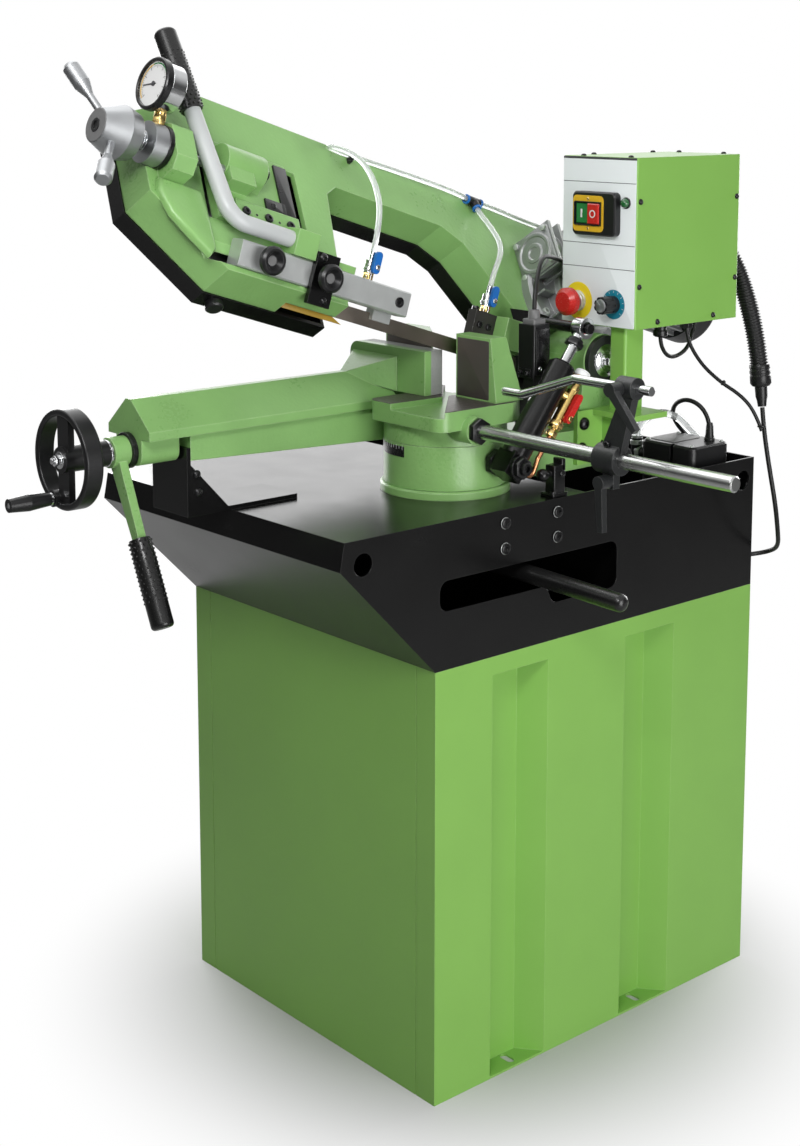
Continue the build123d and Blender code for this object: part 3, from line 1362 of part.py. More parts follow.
def cable_conduit():
    """Ribbed conduit with its bore, ending in a plain cuff and a sleeve."""
    path = tube_path(CONDUIT_ROUTE)
    straight = 2 * CONDUIT_RADIUS / path.length
    root = CONDUIT_RADIUS - CONDUIT_RIB
    circles = [(0.0, root), (straight, root)]
    step = (1 - 2 * straight) / CONDUIT_RIBS
    for rib in range(CONDUIT_RIBS):
        base = straight + rib * step
        for share, radius in ((0.15, root), (0.35, CONDUIT_RADIUS), (0.65, CONDUIT_RADIUS), (0.85, root)):
            circles.append((base + share * step, radius))
    circles += [(1 - straight, root), (1.0, root)]
    sections = []
    for place, radius in circles:
        plane = Plane(origin=path @ place, x_dir=(1, 0, 0), z_dir=path % place)
        sections.append(plane * Circle(radius))
    end_plane = Plane(origin=path @ 1, z_dir=path % 1)
    cuff_back = end_plane.offset(-2.2 * CONDUIT_RADIUS)
    cuff = extrude(cuff_back * Circle(CONDUIT_RADIUS + 1.5), 2.2 * CONDUIT_RADIUS + 1)
    conduit = loft(sections, ruled=True) + cuff
    bore_start = Plane(origin=path @ 0, x_dir=(1, 0, 0), z_dir=path % 0) * Circle(CONDUIT_BORE)
    conduit -= sweep(bore_start, path=path)
    sleeve = extrude(end_plane.offset(0.5) * Circle(CONDUIT_RADIUS * 0.8), SLEEVE_LENGTH - 0.5)
    return conduit + sleeve


NODES["cable_conduit"] = cable_conduit()


def box_cables():
    """Cables and the coolant hose that hang from the conduit behind the tray."""
    end = Vector(BUNDLE_X, BUNDLE_Y, BUNDLE_Z)
    before = Vector(*CONDUIT_ROUTE[-2])
    exit_point = end + (end - before).normalized() * SLEEVE_LENGTH
    x, y, z = exit_point.X, exit_point.Y, exit_point.Z
    drop = hose(
        [
            (x, y, z),
            (x + 4, y - 1, z - 30),
            (x + 14, y + 2, z - 84),
            (x + 30, y + 8, z - 138),
            (x + 22, y + 16, z - 190),
            (x - 14, y + 30, z - 226),
            (x - 44, TRAY_REAR + 24, z - 240),
            (x - 44, TRAY_REAR, z - 240),
        ],
        CABLE_RADIUS,
    )
    under = BOX_BOTTOM
    loop = hose(
        [
            (BOX_RIGHT - 20, BOX_REAR - 90, under),
            (BOX_RIGHT - 20, BOX_REAR - 90, under - 24),
            (BOX_RIGHT - 14, BOX_REAR - 60, under - 60),
            (BOX_RIGHT - 8, BOX_REAR - 26, under - 92),
            (BOX_RIGHT - 2, BOX_REAR + 8, under - 118),
            (x - 4, y - 22, z + 2),
            (x + 2, y - 9, z - 16),
            (x + 6, y - 8, z - 34),
        ],
        CABLE_RADIUS * 0.8,
    )
    return Compound([drop, loop])


NODES["box_cables"] = box_cables()


# Bow casting and cover, drawn flat in the wheel plane

BOW_OUTLINE = [
    (BOW_FRONT, 72),
    (BOW_FRONT - 2, 196),
    (BOW_FRONT + 112, BEAM_TOP_T),
    (REAR_WHEEL_Y + 52, BEAM_TOP_T),
    (BOW_REAR, BEAM_TOP_T - 70),
    (BOW_REAR, 30),
    (BOW_REAR - 52, HOUSING_LOW_T),
    (-26, HOUSING_LOW_T),
    (-26, 64),
    (-110, 170),
    (-150, BEAM_LOW_T),
    (THROAT_FRONT + 20, BEAM_LOW_T),
    (THROAT_FRONT, BEAM_LOW_T - 18),
    (THROAT_FRONT - 10, 62),
    (THROAT_FRONT - 10, HOUSING_LOW_T),
    (-586, HOUSING_LOW_T),
]


def bow_profile(inset):
    outline = make_face(Polyline(*BOW_OUTLINE, close=True))
    if inset:
        outline = offset(outline, -inset, kind=Kind.INTERSECTION)
    return outline


def tension_block():
    """Raised block at the front of the bow that carries the tension screw."""
    start, end = TENSION_BLOCK
    half = TENSION_BLOCK_HALF
    low = TENSION_T - half - 6
    body = block(start, end, low, TENSION_T + half, CASTING_CAVITY + 4, TENSION_N + 26)
    body = chamfer(body.edges().filter_by(Axis.X).group_by(Axis.Z)[-1], 14)
    return body


def handle_path():
    """Centre line of the bent handle, from its seat up to the grip."""
    top_y, top_t, top_n = HANDLE_TOP
    return FilletPolyline(
        bow_point(HANDLE_END, HANDLE_T, HANDLE_N),
        bow_point(HANDLE_BEND, HANDLE_T, HANDLE_N),
        bow_point(top_y, top_t, top_n),
        radius=HANDLE_BEND_RADIUS,
    )


def handle_tube():
    """Bent tube of the bow handle."""
    path = handle_path()
    return sweep(Plane(origin=path @ 0, z_dir=path % 0) * Circle(HANDLE_RADIUS), path=path)


def bow_casting():
    """One casting: two wheel housings, the beam, guide holder, lugs and hinge."""
    depth = CASTING_FRONT_FACE - CASTING_BACK
    body = Pos(0, 0, CASTING_BACK) * extrude(bow_profile(0), depth) + tension_block()
    cavity = Pos(0, 0, CASTING_BACK) * extrude(bow_profile(CASTING_WALL), CASTING_CAVITY - CASTING_BACK)
    y0, y1, t0, t1 = SLIDE_WINDOW
    window = block(y0, y1, t0, t1, CASTING_CAVITY - 1, CASTING_FRONT_FACE + 60)
    hub = Pos(REAR_WHEEL_Y, WHEEL_RADIUS, 0)
    shaft = hub * extrude(Circle(AXLE_RADIUS + RUNNING_FIT), CASTING_FRONT_FACE + 1)
    screw = bar((BOW_FRONT - 100, TENSION_T, TENSION_N), (y1, TENSION_T, TENSION_N), TENSION_SCREW_RADIUS + FACE_GAP)
    collar = bar((BOW_FRONT - 40, TENSION_T, TENSION_N), (TENSION_BLOCK[0], TENSION_T, TENSION_N), COLLAR_RADIUS + FACE_GAP)
    band_room = BLADE_WIDTH / 2 + 4
    level = tilted(body) + lug_blocks()
    for room in (cavity, window, shaft, screw, collar):
        level -= tilted(room)
    for y in (THROAT_FRONT - 10, -26):
        slot = block(y - 30, y + 30, HOUSING_LOW_T + CASTING_WALL, 14, CASTING_BACK - 1, band_room)
        level -= tilted(slot)
    level -= handle_tube()
    level -= block(
        GUIDE_BAR_LEFT - SLIDE_GAP, BLADE_X + 200, GUIDE_BAR_FRONT - 80, HOLDER_REAR + 60,
        GUIDE_BAR_BOTTOM - SLIDE_GAP, GUIDE_BAR_TOP + SLIDE_GAP,
    )
    blade_top = BLADE_Z + BLADE_WIDTH / 2 + 3
    level -= block(BLADE_X - 12, BLADE_X + 12, HOLDER_FRONT, 30, 920, blade_top)
    level -= bar((LUG_LEFT - 1, PIVOT_Y, PIVOT_Z), (PEDESTAL_LEFT, PIVOT_Y, PIVOT_Z), PIVOT_PIN_RADIUS)
    return level


def lug_blocks():
    """Lugs on the casting for the hinge, the guide bar, the handle and rear guide."""
    lug_right = PEDESTAL_LEFT - FACE_GAP
    lug = bar((LUG_LEFT, PIVOT_Y, PIVOT_Z), (lug_right, PIVOT_Y, PIVOT_Z), LUG_RADIUS)
    web_top = PIVOT_Z - 4
    web = block(LUG_LEFT - 8, lug_right, PIVOT_Y - LUG_RADIUS, PIVOT_Y + LUG_RADIUS, BLADE_Z + 2, web_top)
    holder = block(
        BLADE_X + 2, GUIDE_BAR_RIGHT - 4, HOLDER_FRONT, HOLDER_REAR,
        GUIDE_BAR_BOTTOM - 7, GUIDE_BAR_TOP + 10,
    )
    handle_z = bow_point(0, HANDLE_T, HANDLE_N).Z
    handle_x = bow_point(0, HANDLE_T, HANDLE_N).X
    seat = block(
        BLADE_X - 8, handle_x + HANDLE_RADIUS + 4, HANDLE_END - HANDLE_SEAT_HALF, HANDLE_END + HANDLE_SEAT_HALF,
        GUIDE_BAR_TOP + SLIDE_GAP, handle_z + HANDLE_RADIUS + 4,
    )
    rear = block(BLADE_X - 6, BLADE_X + 32, REAR_GUIDE_REAR, -20, BLADE_Z + 14, BLADE_Z + 58)
    return lug + web + holder + seat + rear


def wheel_cover():
    """Hinged sheet cover behind both wheels."""
    depth = CASTING_BACK - FACE_GAP - COVER_BACK
    shell = Pos(0, 0, COVER_BACK) * extrude(bow_profile(-2), depth)
    shell -= Pos(0, 0, COVER_BACK + COVER_WALL) * extrude(bow_profile(COVER_WALL), depth)
    return tilted(shell)


NODES["bow_casting"] = raised(bow_casting())
NODES["wheel_cover"] = raised(wheel_cover())

HINGE_PIN_END = PEDESTAL_RIGHT + 10.0


def hinge_pin():
    """Shaft pressed into the bow lug, with its adjusting nut outside."""
    shaft = bar((LUG_LEFT + 4, PIVOT_Y, PIVOT_Z), (HINGE_PIN_END, PIVOT_Y, PIVOT_Z), PIVOT_PIN_RADIUS)
    nut = bar(
        (PEDESTAL_RIGHT + FACE_GAP, PIVOT_Y, PIVOT_Z),
        (HINGE_PIN_END - 2, PIVOT_Y, PIVOT_Z),
        PEDESTAL_RADIUS - 2,
    )
    return raised(shaft + nut)


NODES["hinge_pin"] = hinge_pin()


# Wheels and blade

def band_wheel(bore):
    """Cast wheel: rim with a flange, thin web with holes and a hub."""
    half = WHEEL_HALF_WIDTH
    radius = WHEEL_RADIUS - BLADE_THICKNESS / 2 - FACE_GAP
    rim = extrude(Circle(radius) - Circle(radius - WHEEL_RIM), 2 * half)
    web = Pos(0, 0, half - WHEEL_WEB / 2) * extrude(Circle(radius - WHEEL_RIM + 1), WHEEL_WEB)
    holes = None
    for step in range(5):
        angle = math.radians(step * 72)
        reach = (radius - WHEEL_RIM + WHEEL_HUB) / 2
        hole = Pos(reach * math.cos(angle), reach * math.sin(angle), 0) * extrude(Circle(WHEEL_HUB * 0.5), 2 * half)
        holes = hole if holes is None else holes + hole
    hub = extrude(Circle(WHEEL_HUB), 2 * half)
    wheel = rim + (web - holes) + hub - extrude(Circle(bore), 2 * half)
    return Pos(0, 0, -half) * wheel


def drive_wheel():
    """Driving wheel fixed to the gearbox shaft."""
    wheel = band_wheel(AXLE_RADIUS - 1)
    shaft = Pos(0, 0, -WHEEL_HALF_WIDTH) * extrude(Circle(AXLE_RADIUS), FLANGE_TOP + WHEEL_HALF_WIDTH - 8)
    return raised(tilted(Pos(REAR_WHEEL_Y, WHEEL_RADIUS, 0) * (wheel + shaft)))


def idler_wheel():
    """Free wheel on the slide's axle."""
    return raised(tilted(Pos(FRONT_WHEEL_Y, WHEEL_RADIUS, 0) * band_wheel(AXLE_RADIUS + RUNNING_FIT)))


NODES["drive_wheel"] = drive_wheel()
NODES["idler_wheel"] = idler_wheel()


def idler_slide():
    """Sliding block with the idler's axle, a round boss and the screw's nut."""
    y0, y1, t0, t1 = SLIDE_WINDOW
    gap = SLIDE_GAP
    body = block(y0 + SLIDE_TRAVEL_ROOM, y1 - 2 * SLIDE_TRAVEL_ROOM, t0 + gap, t1 - gap, CASTING_CAVITY + gap, SLIDE_FACE)
    boss = bar((y0 + 26, SLIDE_BOSS_T, SLIDE_FACE), (y1 - 82, SLIDE_BOSS_T, SLIDE_FACE), SLIDE_BOSS_RADIUS)
    boss -= block(y0, y1, t0, t1, 0, CASTING_CAVITY + gap)
    axle = Pos(FRONT_WHEEL_Y, WHEEL_RADIUS, -WHEEL_HALF_WIDTH) * extrude(Circle(AXLE_RADIUS), CASTING_CAVITY + 2 * gap + WHEEL_HALF_WIDTH)
    step = block(y0 + 40, y1 - 2 * SLIDE_TRAVEL_ROOM, t0 + gap, t0 + 34, SLIDE_FACE - 1, SLIDE_FACE + 6)
    seat = block(y0 + 26, y0 + 66, TENSION_T - 22, TENSION_T + 22, SLIDE_FACE - 1, TENSION_N + 12)
    slide = body + boss + axle + step + seat
    return raised(tilted(slide))


NODES["idler_slide"] = idler_slide()


def band_section(y, angle):
    """Cross-section of the blade at one place, turned about its own middle."""
    turn = math.radians(angle)
    plane = Plane(
        origin=(BLADE_X, y, BLADE_Z),
        x_dir=(math.cos(turn), 0, math.sin(turn)),
        z_dir=(0, 1, 0),
    )
    return plane * Rectangle(BLADE_WIDTH, BLADE_THICKNESS)


def band_twist(y0, y1, angle0, angle1):
    """A stretch of blade that turns evenly from one angle to another."""
    steps = 6
    sections = []
    for step in range(steps + 1):
        share = step / steps
        sections.append(band_section(y0 + share * (y1 - y0), angle0 + share * (angle1 - angle0)))
    return loft(sections, ruled=True)


def saw_blade():
    """Endless blade: round both wheels, twisted upright between the guides."""
    middle = (FRONT_WHEEL_Y + REAR_WHEEL_Y) / 2
    length = REAR_WHEEL_Y - FRONT_WHEEL_Y
    outer = WHEEL_RADIUS + BLADE_THICKNESS / 2
    inner = WHEEL_RADIUS - BLADE_THICKNESS / 2
    loop = SlotOverall(length + 2 * outer, 2 * outer) - SlotOverall(length + 2 * inner, 2 * inner)
    ring = Pos(middle, WHEEL_RADIUS, -BLADE_WIDTH / 2) * extrude(loop, BLADE_WIDTH)
    ring -= block(FRONT_WHEEL_Y, REAR_WHEEL_Y, -10, 10, -BLADE_WIDTH, BLADE_WIDTH)
    front_end = GUIDE_BAR_REAR - GUIDE_HEAD_LENGTH - GUIDE_TRAVEL
    lower = band_twist(FRONT_WHEEL_Y, front_end, BOW_TILT, 90)
    straight = band_twist(front_end, REAR_GUIDE_REAR, 90, 90)
    rear = band_twist(REAR_GUIDE_REAR, REAR_WHEEL_Y, 90, BOW_TILT)
    return raised(tilted(ring) + lower + straight + rear)


NODES["saw_blade"] = saw_blade()


# Gearbox and motor

def gearbox():
    """Worm gearbox: round flange, gear case and the worm housing across it."""
    start = CASTING_FRONT_FACE
    centre = Pos(REAR_WHEEL_Y, WHEEL_RADIUS, 0)
    flange = Pos(0, 0, start) * extrude(Circle(FLANGE_RADIUS), FLANGE_TOP - start)
    flange = chamfer(flange.edges().group_by(Axis.Z)[-1], 4)
    case = Pos(0, 0, FLANGE_TOP) * extrude(Circle(GEARCASE_RADIUS), GEARCASE_TOP - FLANGE_TOP)
    case = chamfer(case.edges().group_by(Axis.Z)[-1], 5)
    body = centre * (flange + case)
    worm_t = WHEEL_RADIUS + WORM_T_OFFSET
    body += bar((WORM_FRONT, worm_t, WORM_N), (MOTOR_FLANGE_Y, worm_t, WORM_N), WORM_RADIUS)
    half = WORM_RADIUS + 4
    for y in (WORM_FRONT, WORM_FRONT + 22, WORM_FRONT + 44):
        body += block(y, y + 6, worm_t - half, worm_t + half, CASTING_FRONT_FACE, WORM_N + half)
    side = MOTOR_FLANGE_SIDE / 2
    body += block(
        MOTOR_FLANGE_Y, MOTOR_FLANGE_Y + MOTOR_FLANGE_THICK, worm_t - side * 0.8, worm_t + side * 0.8,
        CASTING_FRONT_FACE, WORM_N + side * 0.8,
    )
    body -= centre * extrude(Circle(AXLE_RADIUS + RUNNING_FIT), FLANGE_TOP - 7)
    reach = LUG_RADIUS + 2 * SLIDE_GAP
    lug_room = block(
        BLADE_X - 40, HINGE_PIN_END, PIVOT_Y - reach, PIVOT_Y + reach, PIVOT_Z - 3 * reach, PIVOT_Z + reach)
    return raised(tilted(body) - lug_room)


NODES["gearbox"] = gearbox()


def motor():
    """Finned motor behind the gearbox, with its fan cover."""
    worm_t = WHEEL_RADIUS + WORM_T_OFFSET
    back = MOTOR_FLANGE_Y + MOTOR_FLANGE_THICK
    place = Plane(origin=(back, worm_t, MOTOR_N), x_dir=(0, 1, 0), z_dir=(1, 0, 0))
    fin_length = MOTOR_LENGTH * 0.72
    frame = extrude(Circle(MOTOR_RADIUS - MOTOR_FIN_HEIGHT), fin_length)
    for step in range(MOTOR_FINS):
        angle = step * 360 / MOTOR_FINS
        fin = Pos(MOTOR_RADIUS - MOTOR_FIN_HEIGHT, 0, fin_length / 2) * Box(2 * MOTOR_FIN_HEIGHT, 3, fin_length)
        frame += Rot(0, 0, angle) * fin
    fan_cover = Pos(0, 0, fin_length) * extrude(Circle(MOTOR_RADIUS + 2), MOTOR_LENGTH - fin_length)
    fan_cover = fillet(fan_cover.edges().group_by(Axis.Z)[-1], 10)
    return raised(tilted(place.location * (frame + fan_cover)))


NODES["motor"] = motor()


# Tension screw's collar, star wheel and gauge

COLLAR_BACK = TENSION_BLOCK[0]
COLLAR_FRONT = COLLAR_BACK - COLLAR_LENGTH


def tension_collar():
    """Turned spring housing on the tension block."""
    collar = bar((COLLAR_FRONT, TENSION_T, TENSION_N), (COLLAR_BACK, TENSION_T, TENSION_N), COLLAR_RADIUS)
    collar -= bar((COLLAR_FRONT - 1, TENSION_T, TENSION_N), (COLLAR_BACK, TENSION_T, TENSION_N), TENSION_SCREW_RADIUS + FACE_GAP)
    return raised(tilted(collar))


NODES["tension_collar"] = tension_collar()


def star_spoke():
    """Bottle-shaped spoke of the star wheel, drawn along its own axis."""
    profile = make_face(Polyline(
        (0, 0),
        (5, 0),
        (5, STAR_REACH * 0.53),
        (11, STAR_REACH * 0.71),
        (11, STAR_REACH * 0.96),
        (8, STAR_REACH),
        (0, STAR_REACH),
        close=True,
    ))
    return revolve(Plane.XZ * profile, Axis.Z)


def tension_wheel():
    """Hand wheel with two spokes that lean forward, on the tension screw."""
    hub_profile = make_face(Polyline(
        (0, 0),
        (STAR_HUB_RADIUS * 0.63, 0),
        (STAR_HUB_RADIUS, STAR_HUB_LENGTH * 0.62),
        (STAR_HUB_RADIUS * 0.86, STAR_HUB_LENGTH),
        (0, STAR_HUB_LENGTH),
        close=True,
    ))
    wheel = revolve(Plane.XZ * hub_profile, Axis.Z)
    for step in range(STAR_SPOKES):
        spoke = Pos(0, 0, STAR_HUB_LENGTH * 0.5) * (Rot(0, -90 - STAR_LEAN, 0) * star_spoke())
        wheel += Rot(0, 0, STAR_TURN + step * 360 / STAR_SPOKES) * spoke
    screw_end = SLIDE_WINDOW[0] + 26 - FACE_GAP
    wheel += extrude(Circle(TENSION_SCREW_RADIUS), screw_end - STAR_FRONT)
    place = Plane(origin=(STAR_FRONT, TENSION_T, TENSION_N), x_dir=(0, 1, 0), z_dir=(1, 0, 0))
    return raised(tilted(place.location * wheel))


NODES["tension_wheel"] = tension_wheel()


def pressure_gauge():
    """Round gauge that faces forward, on a hexagon fitting over the collar."""
    middle = (COLLAR_FRONT + COLLAR_BACK) / 2
    foot = bow_point(middle, TENSION_T, TENSION_N)
    centre_z = foot.Z + GAUGE_RISE
    stem_start = foot.Z + math.sqrt(COLLAR_RADIUS ** 2 - GAUGE_STEM ** 2)
    stem = Pos(foot.X, middle, stem_start) * extrude(RegularPolygon(GAUGE_STEM, 6), GAUGE_RISE - COLLAR_RADIUS)
    front = middle - GAUGE_DEPTH * 0.7
    case = bar((foot.X, front, centre_z), (foot.X, front + GAUGE_DEPTH, centre_z), GAUGE_RADIUS - 2)
    bezel = bar((foot.X, front - 3, centre_z), (foot.X, front + 7, centre_z), GAUGE_RADIUS)
    bezel -= bar((foot.X, front - 4, centre_z), (foot.X, front, centre_z), GAUGE_RADIUS - 4)
    collar = tilted(bar((COLLAR_FRONT, TENSION_T, TENSION_N), (COLLAR_BACK, TENSION_T, TENSION_N), COLLAR_RADIUS))
    return raised(case + bezel + stem - collar)


NODES["pressure_gauge"] = pressure_gauge()


# Guide bar, its knobs, the rear guide and coolant taps

PAD_INNER = BLADE_THICKNESS / 2 + GUIDE_PAD_GAP


def guide_pads(front, rear, top):
    """Two carbide-faced pads on either side of the upright blade."""
    low = BLADE_Z - BLADE_WIDTH / 2 + 11
    pads = None
    for side in (-1, 1):
        inner = BLADE_X + side * PAD_INNER
        outer = BLADE_X + side * (PAD_INNER + GUIDE_PAD_WIDTH)
        pad = block(min(inner, outer), max(inner, outer), front, rear, low, top)
        pads = pad if pads is None else pads + pad
    roof = BLADE_Z + BLADE_WIDTH / 2 + GUIDE_PAD_GAP
    reach = PAD_INNER + GUIDE_PAD_WIDTH
    pads += block(BLADE_X - reach, BLADE_X + reach, front, rear, roof, top)
    return pads


def guide_bar():
    """Plated square bar with the front guide head at its end."""
    body = block(
        GUIDE_BAR_LEFT, GUIDE_BAR_RIGHT, GUIDE_BAR_FRONT, GUIDE_BAR_REAR,
        GUIDE_BAR_BOTTOM, GUIDE_BAR_TOP,
    )
    body = chamfer(body.edges().filter_by(Axis.Y), 2)
    head_front = GUIDE_BAR_REAR - GUIDE_HEAD_LENGTH
    head = guide_pads(head_front + 2, GUIDE_BAR_REAR - 2, GUIDE_BAR_TOP - 6)
    bridge = block(BLADE_X, GUIDE_BAR_LEFT + 4, head_front + 2, GUIDE_BAR_REAR - 2, GUIDE_BAR_BOTTOM + 4, GUIDE_BAR_TOP - 6)
    return raised(body + head + bridge)


NODES["guide_bar"] = guide_bar()


def recessed_knob():
    """Round knob with a hollow face and a short stem."""
    profile = make_face(Polyline(
        (0, 0),
        (KNOB_STEM, 0),
        (KNOB_STEM, 7),
        (KNOB_RADIUS * 0.8, 9),
        (KNOB_RADIUS, 13),
        (KNOB_RADIUS, KNOB_LENGTH - 3),
        (KNOB_RADIUS - 3, KNOB_LENGTH),
        (KNOB_RADIUS - 6, KNOB_LENGTH),
        (KNOB_RADIUS * 0.4, KNOB_LENGTH - 7),
        (0, KNOB_LENGTH - 8),
        close=True,
    ))
    return revolve(Plane.XZ * profile, Axis.Z)


GUIDE_BAR_MIDDLE = (GUIDE_BAR_BOTTOM + GUIDE_BAR_TOP) / 2
PLATE_FACE = GUIDE_BAR_RIGHT + SLIDE_GAP + CLAMP_PLATE_THICK


def side_knob(x, y):
    place = Plane(origin=(x, y, GUIDE_BAR_MIDDLE), x_dir=(0, 1, 0), z_dir=(1, 0, 0))
    return raised(place.location * recessed_knob())


NODES["guide_bar_knob"] = side_knob(GUIDE_BAR_RIGHT + FACE_GAP, BAR_KNOB_Y)
NODES["guide_clamp_knob"] = side_knob(PLATE_FACE + FACE_GAP, CLAMP_KNOB_Y - 25)


def guide_clamp_plate():
    """Pressed plate that holds the guide bar in the casting."""
    plate = block(
        GUIDE_BAR_RIGHT + SLIDE_GAP, PLATE_FACE, CLAMP_PLATE_FRONT, CLAMP_PLATE_REAR,
        GUIDE_BAR_BOTTOM - 20, GUIDE_BAR_TOP + 14,
    )
    upper = block(
        GUIDE_BAR_RIGHT - 5, GUIDE_BAR_RIGHT + 2, CLAMP_PLATE_FRONT, CLAMP_PLATE_REAR,
        GUIDE_BAR_TOP + SLIDE_GAP, GUIDE_BAR_TOP + 10,
    )
    holder = lug_blocks()
    return raised(plate + upper - holder)


NODES["guide_clamp_plate"] = guide_clamp_plate()


def rear_guide():
    """Rear guide block on the casting's lug, with the coolant tap's body."""
    top = BLADE_Z + 58
    block_body = guide_pads(REAR_GUIDE_FRONT, REAR_GUIDE_REAR - FACE_GAP, top)
    tap = tap_body(BLADE_X + 2, (REAR_GUIDE_FRONT + REAR_GUIDE_REAR) / 2, top)
    return raised(block_body + tap)


TAP_HEIGHT = 38.0


def tap_body(x, y, z):
    """Small ball tap: hexagon foot, ball body, spindle and hose barb."""
    foot = Pos(x, y, z) * extrude(RegularPolygon(7, 6), 10)
    ball = Pos(x, y, z + 10) * extrude(Circle(8), 16)
    barb = Pos(x, y, z + 26) * extrude(Circle(CLEAR_HOSE_RADIUS), 12)
    spindle = bar((x, y, z + 18), (x + 16, y, z + 18), 3)
    return foot + ball + barb + spindle


def tap_lever(x, y, z):
    """Flat tap lever that stands along the body when the tap is open."""
    plane = Plane(origin=(x + 10, y, z + 24), x_dir=(0, 0, 1), z_dir=(1, 0, 0))
    lever = extrude(plane * SlotOverall(30, 11), 5)
    lever -= bar((x, y, z + 18), (x + 30, y, z + 18), 3 + RUNNING_FIT)
    return raised(lever)


NODES["rear_guide"] = rear_guide()

REAR_TAP = (BLADE_X + 2, (REAR_GUIDE_FRONT + REAR_GUIDE_REAR) / 2, BLADE_Z + 58)
FRONT_TAP = ((GUIDE_BAR_LEFT + GUIDE_BAR_RIGHT) / 2, GUIDE_BAR_REAR - 72, GUIDE_BAR_TOP)
NODES["front_tap"] = raised(tap_body(*FRONT_TAP))
NODES["front_tap_lever"] = tap_lever(*FRONT_TAP)
NODES["rear_tap_lever"] = tap_lever(*REAR_TAP)


# Lift bracket for the piston rod

def lift_bracket():
    """Arm on the casting whose pin the piston rod lifts."""
    y, z = level_point(*CYLINDER_HEAD)
    arm = bar((BLADE_X + 10, y, z), (CYLINDER_X - 14, y, z), LIFT_ARM_RADIUS)
    foot = block(BLADE_X - 24, BLADE_X + 30, y - 12, y + 22, z - 13, z + 13)
    pin = bar((CYLINDER_X - 16, y, z), (CYLINDER_X + 16, y, z), LIFT_PIN_RADIUS)
    behind = tilted(block(BOW_FRONT, BOW_REAR, HOUSING_LOW_T, BEAM_TOP_T, COVER_BACK, CASTING_FRONT_FACE))
    bracket = arm + foot + pin - behind
    return raised(bracket) - NODES["bow_casting"]


NODES["lift_bracket"] = lift_bracket()


# Bow handle

NODES["bow_handle"] = raised(handle_tube())


def handle_grip():
    """Moulded grip pushed over the top of the tube."""
    path = handle_path()
    way = path % 1
    socket = GRIP_LENGTH / 2
    place = Plane(origin=path @ 1 - way * socket, z_dir=way)
    return raised(place.location * hand_grip(GRIP_LENGTH, HANDLE_RADIUS, socket))


NODES["handle_grip"] = handle_grip()


# Coolant hoses on the bow

def coolant_hoses():
    """Clear hose along the beam with a branch to each tap."""
    ride = CASTING_FRONT_FACE + 2 * CLEAR_HOSE_RADIUS
    top = BEAM_TOP_T - 10
    fx, fy, fz = FRONT_TAP
    rx, ry, rz = REAR_TAP
    tee = bow_point(-70, top, ride)
    front = [
        Vector(fx, fy, fz + TAP_HEIGHT),
        Vector(fx, fy, fz + TAP_HEIGHT + 36),
        Vector(fx - 10, fy - 8, fz + TAP_HEIGHT + 84),
        Vector(fx - 38, fy - 26, fz + TAP_HEIGHT + 124),
        bow_point(-384, 242, ride + 10),
        bow_point(-340, 250, ride),
        bow_point(-270, 251, ride),
        bow_point(-190, 255, ride),
        bow_point(-110, top - 1, ride),
        tee - Vector(0, 5, 0),
    ]
    rear = [
        Vector(rx, ry, rz + TAP_HEIGHT),
        Vector(rx, ry, rz + TAP_HEIGHT + 22),
        Vector(rx + 4, ry + 6, rz + TAP_HEIGHT + 52),
        bow_point(-74, 196, ride + 14),
        bow_point(-72, 228, ride + 6),
        bow_point(-70, top - 2, ride),
    ]
    main = [
        tee + Vector(0, 5, 0),
        bow_point(-20, top + 1, ride),
        bow_point(30, top - 2, ride),
        bow_point(86, top - 1, ride),
    ]
    way = (tee - front[-2]).normalized()
    length = 3 * CLEAR_HOSE_RADIUS
    fitting = bar(tuple(tee - way * length), tuple(tee + way * length), 1.7 * CLEAR_HOSE_RADIUS)
    joined = raised(fitting)
    for route in (front, rear, main):
        joined = joined + raised(hose(route, CLEAR_HOSE_RADIUS))
    return joined


NODES["coolant_hoses"] = coolant_hoses()


# Move the centre of the floor anchors to the origin and write the pieces

ANCHOR_CENTRE = sum(GROOVE_CENTRES) / len(GROOVE_CENTRES)
os.makedirs("parts", exist_ok=True)
for name, shape in NODES.items():
    placed = Pos(0, -ANCHOR_CENTRE, 0) * shape
    placed.label = name
    export_step(placed, f"parts/{name}.step")
print(len(NODES), "nodes")
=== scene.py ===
import json
import math

import bmesh
import bpy
from mathutils import Matrix, Vector


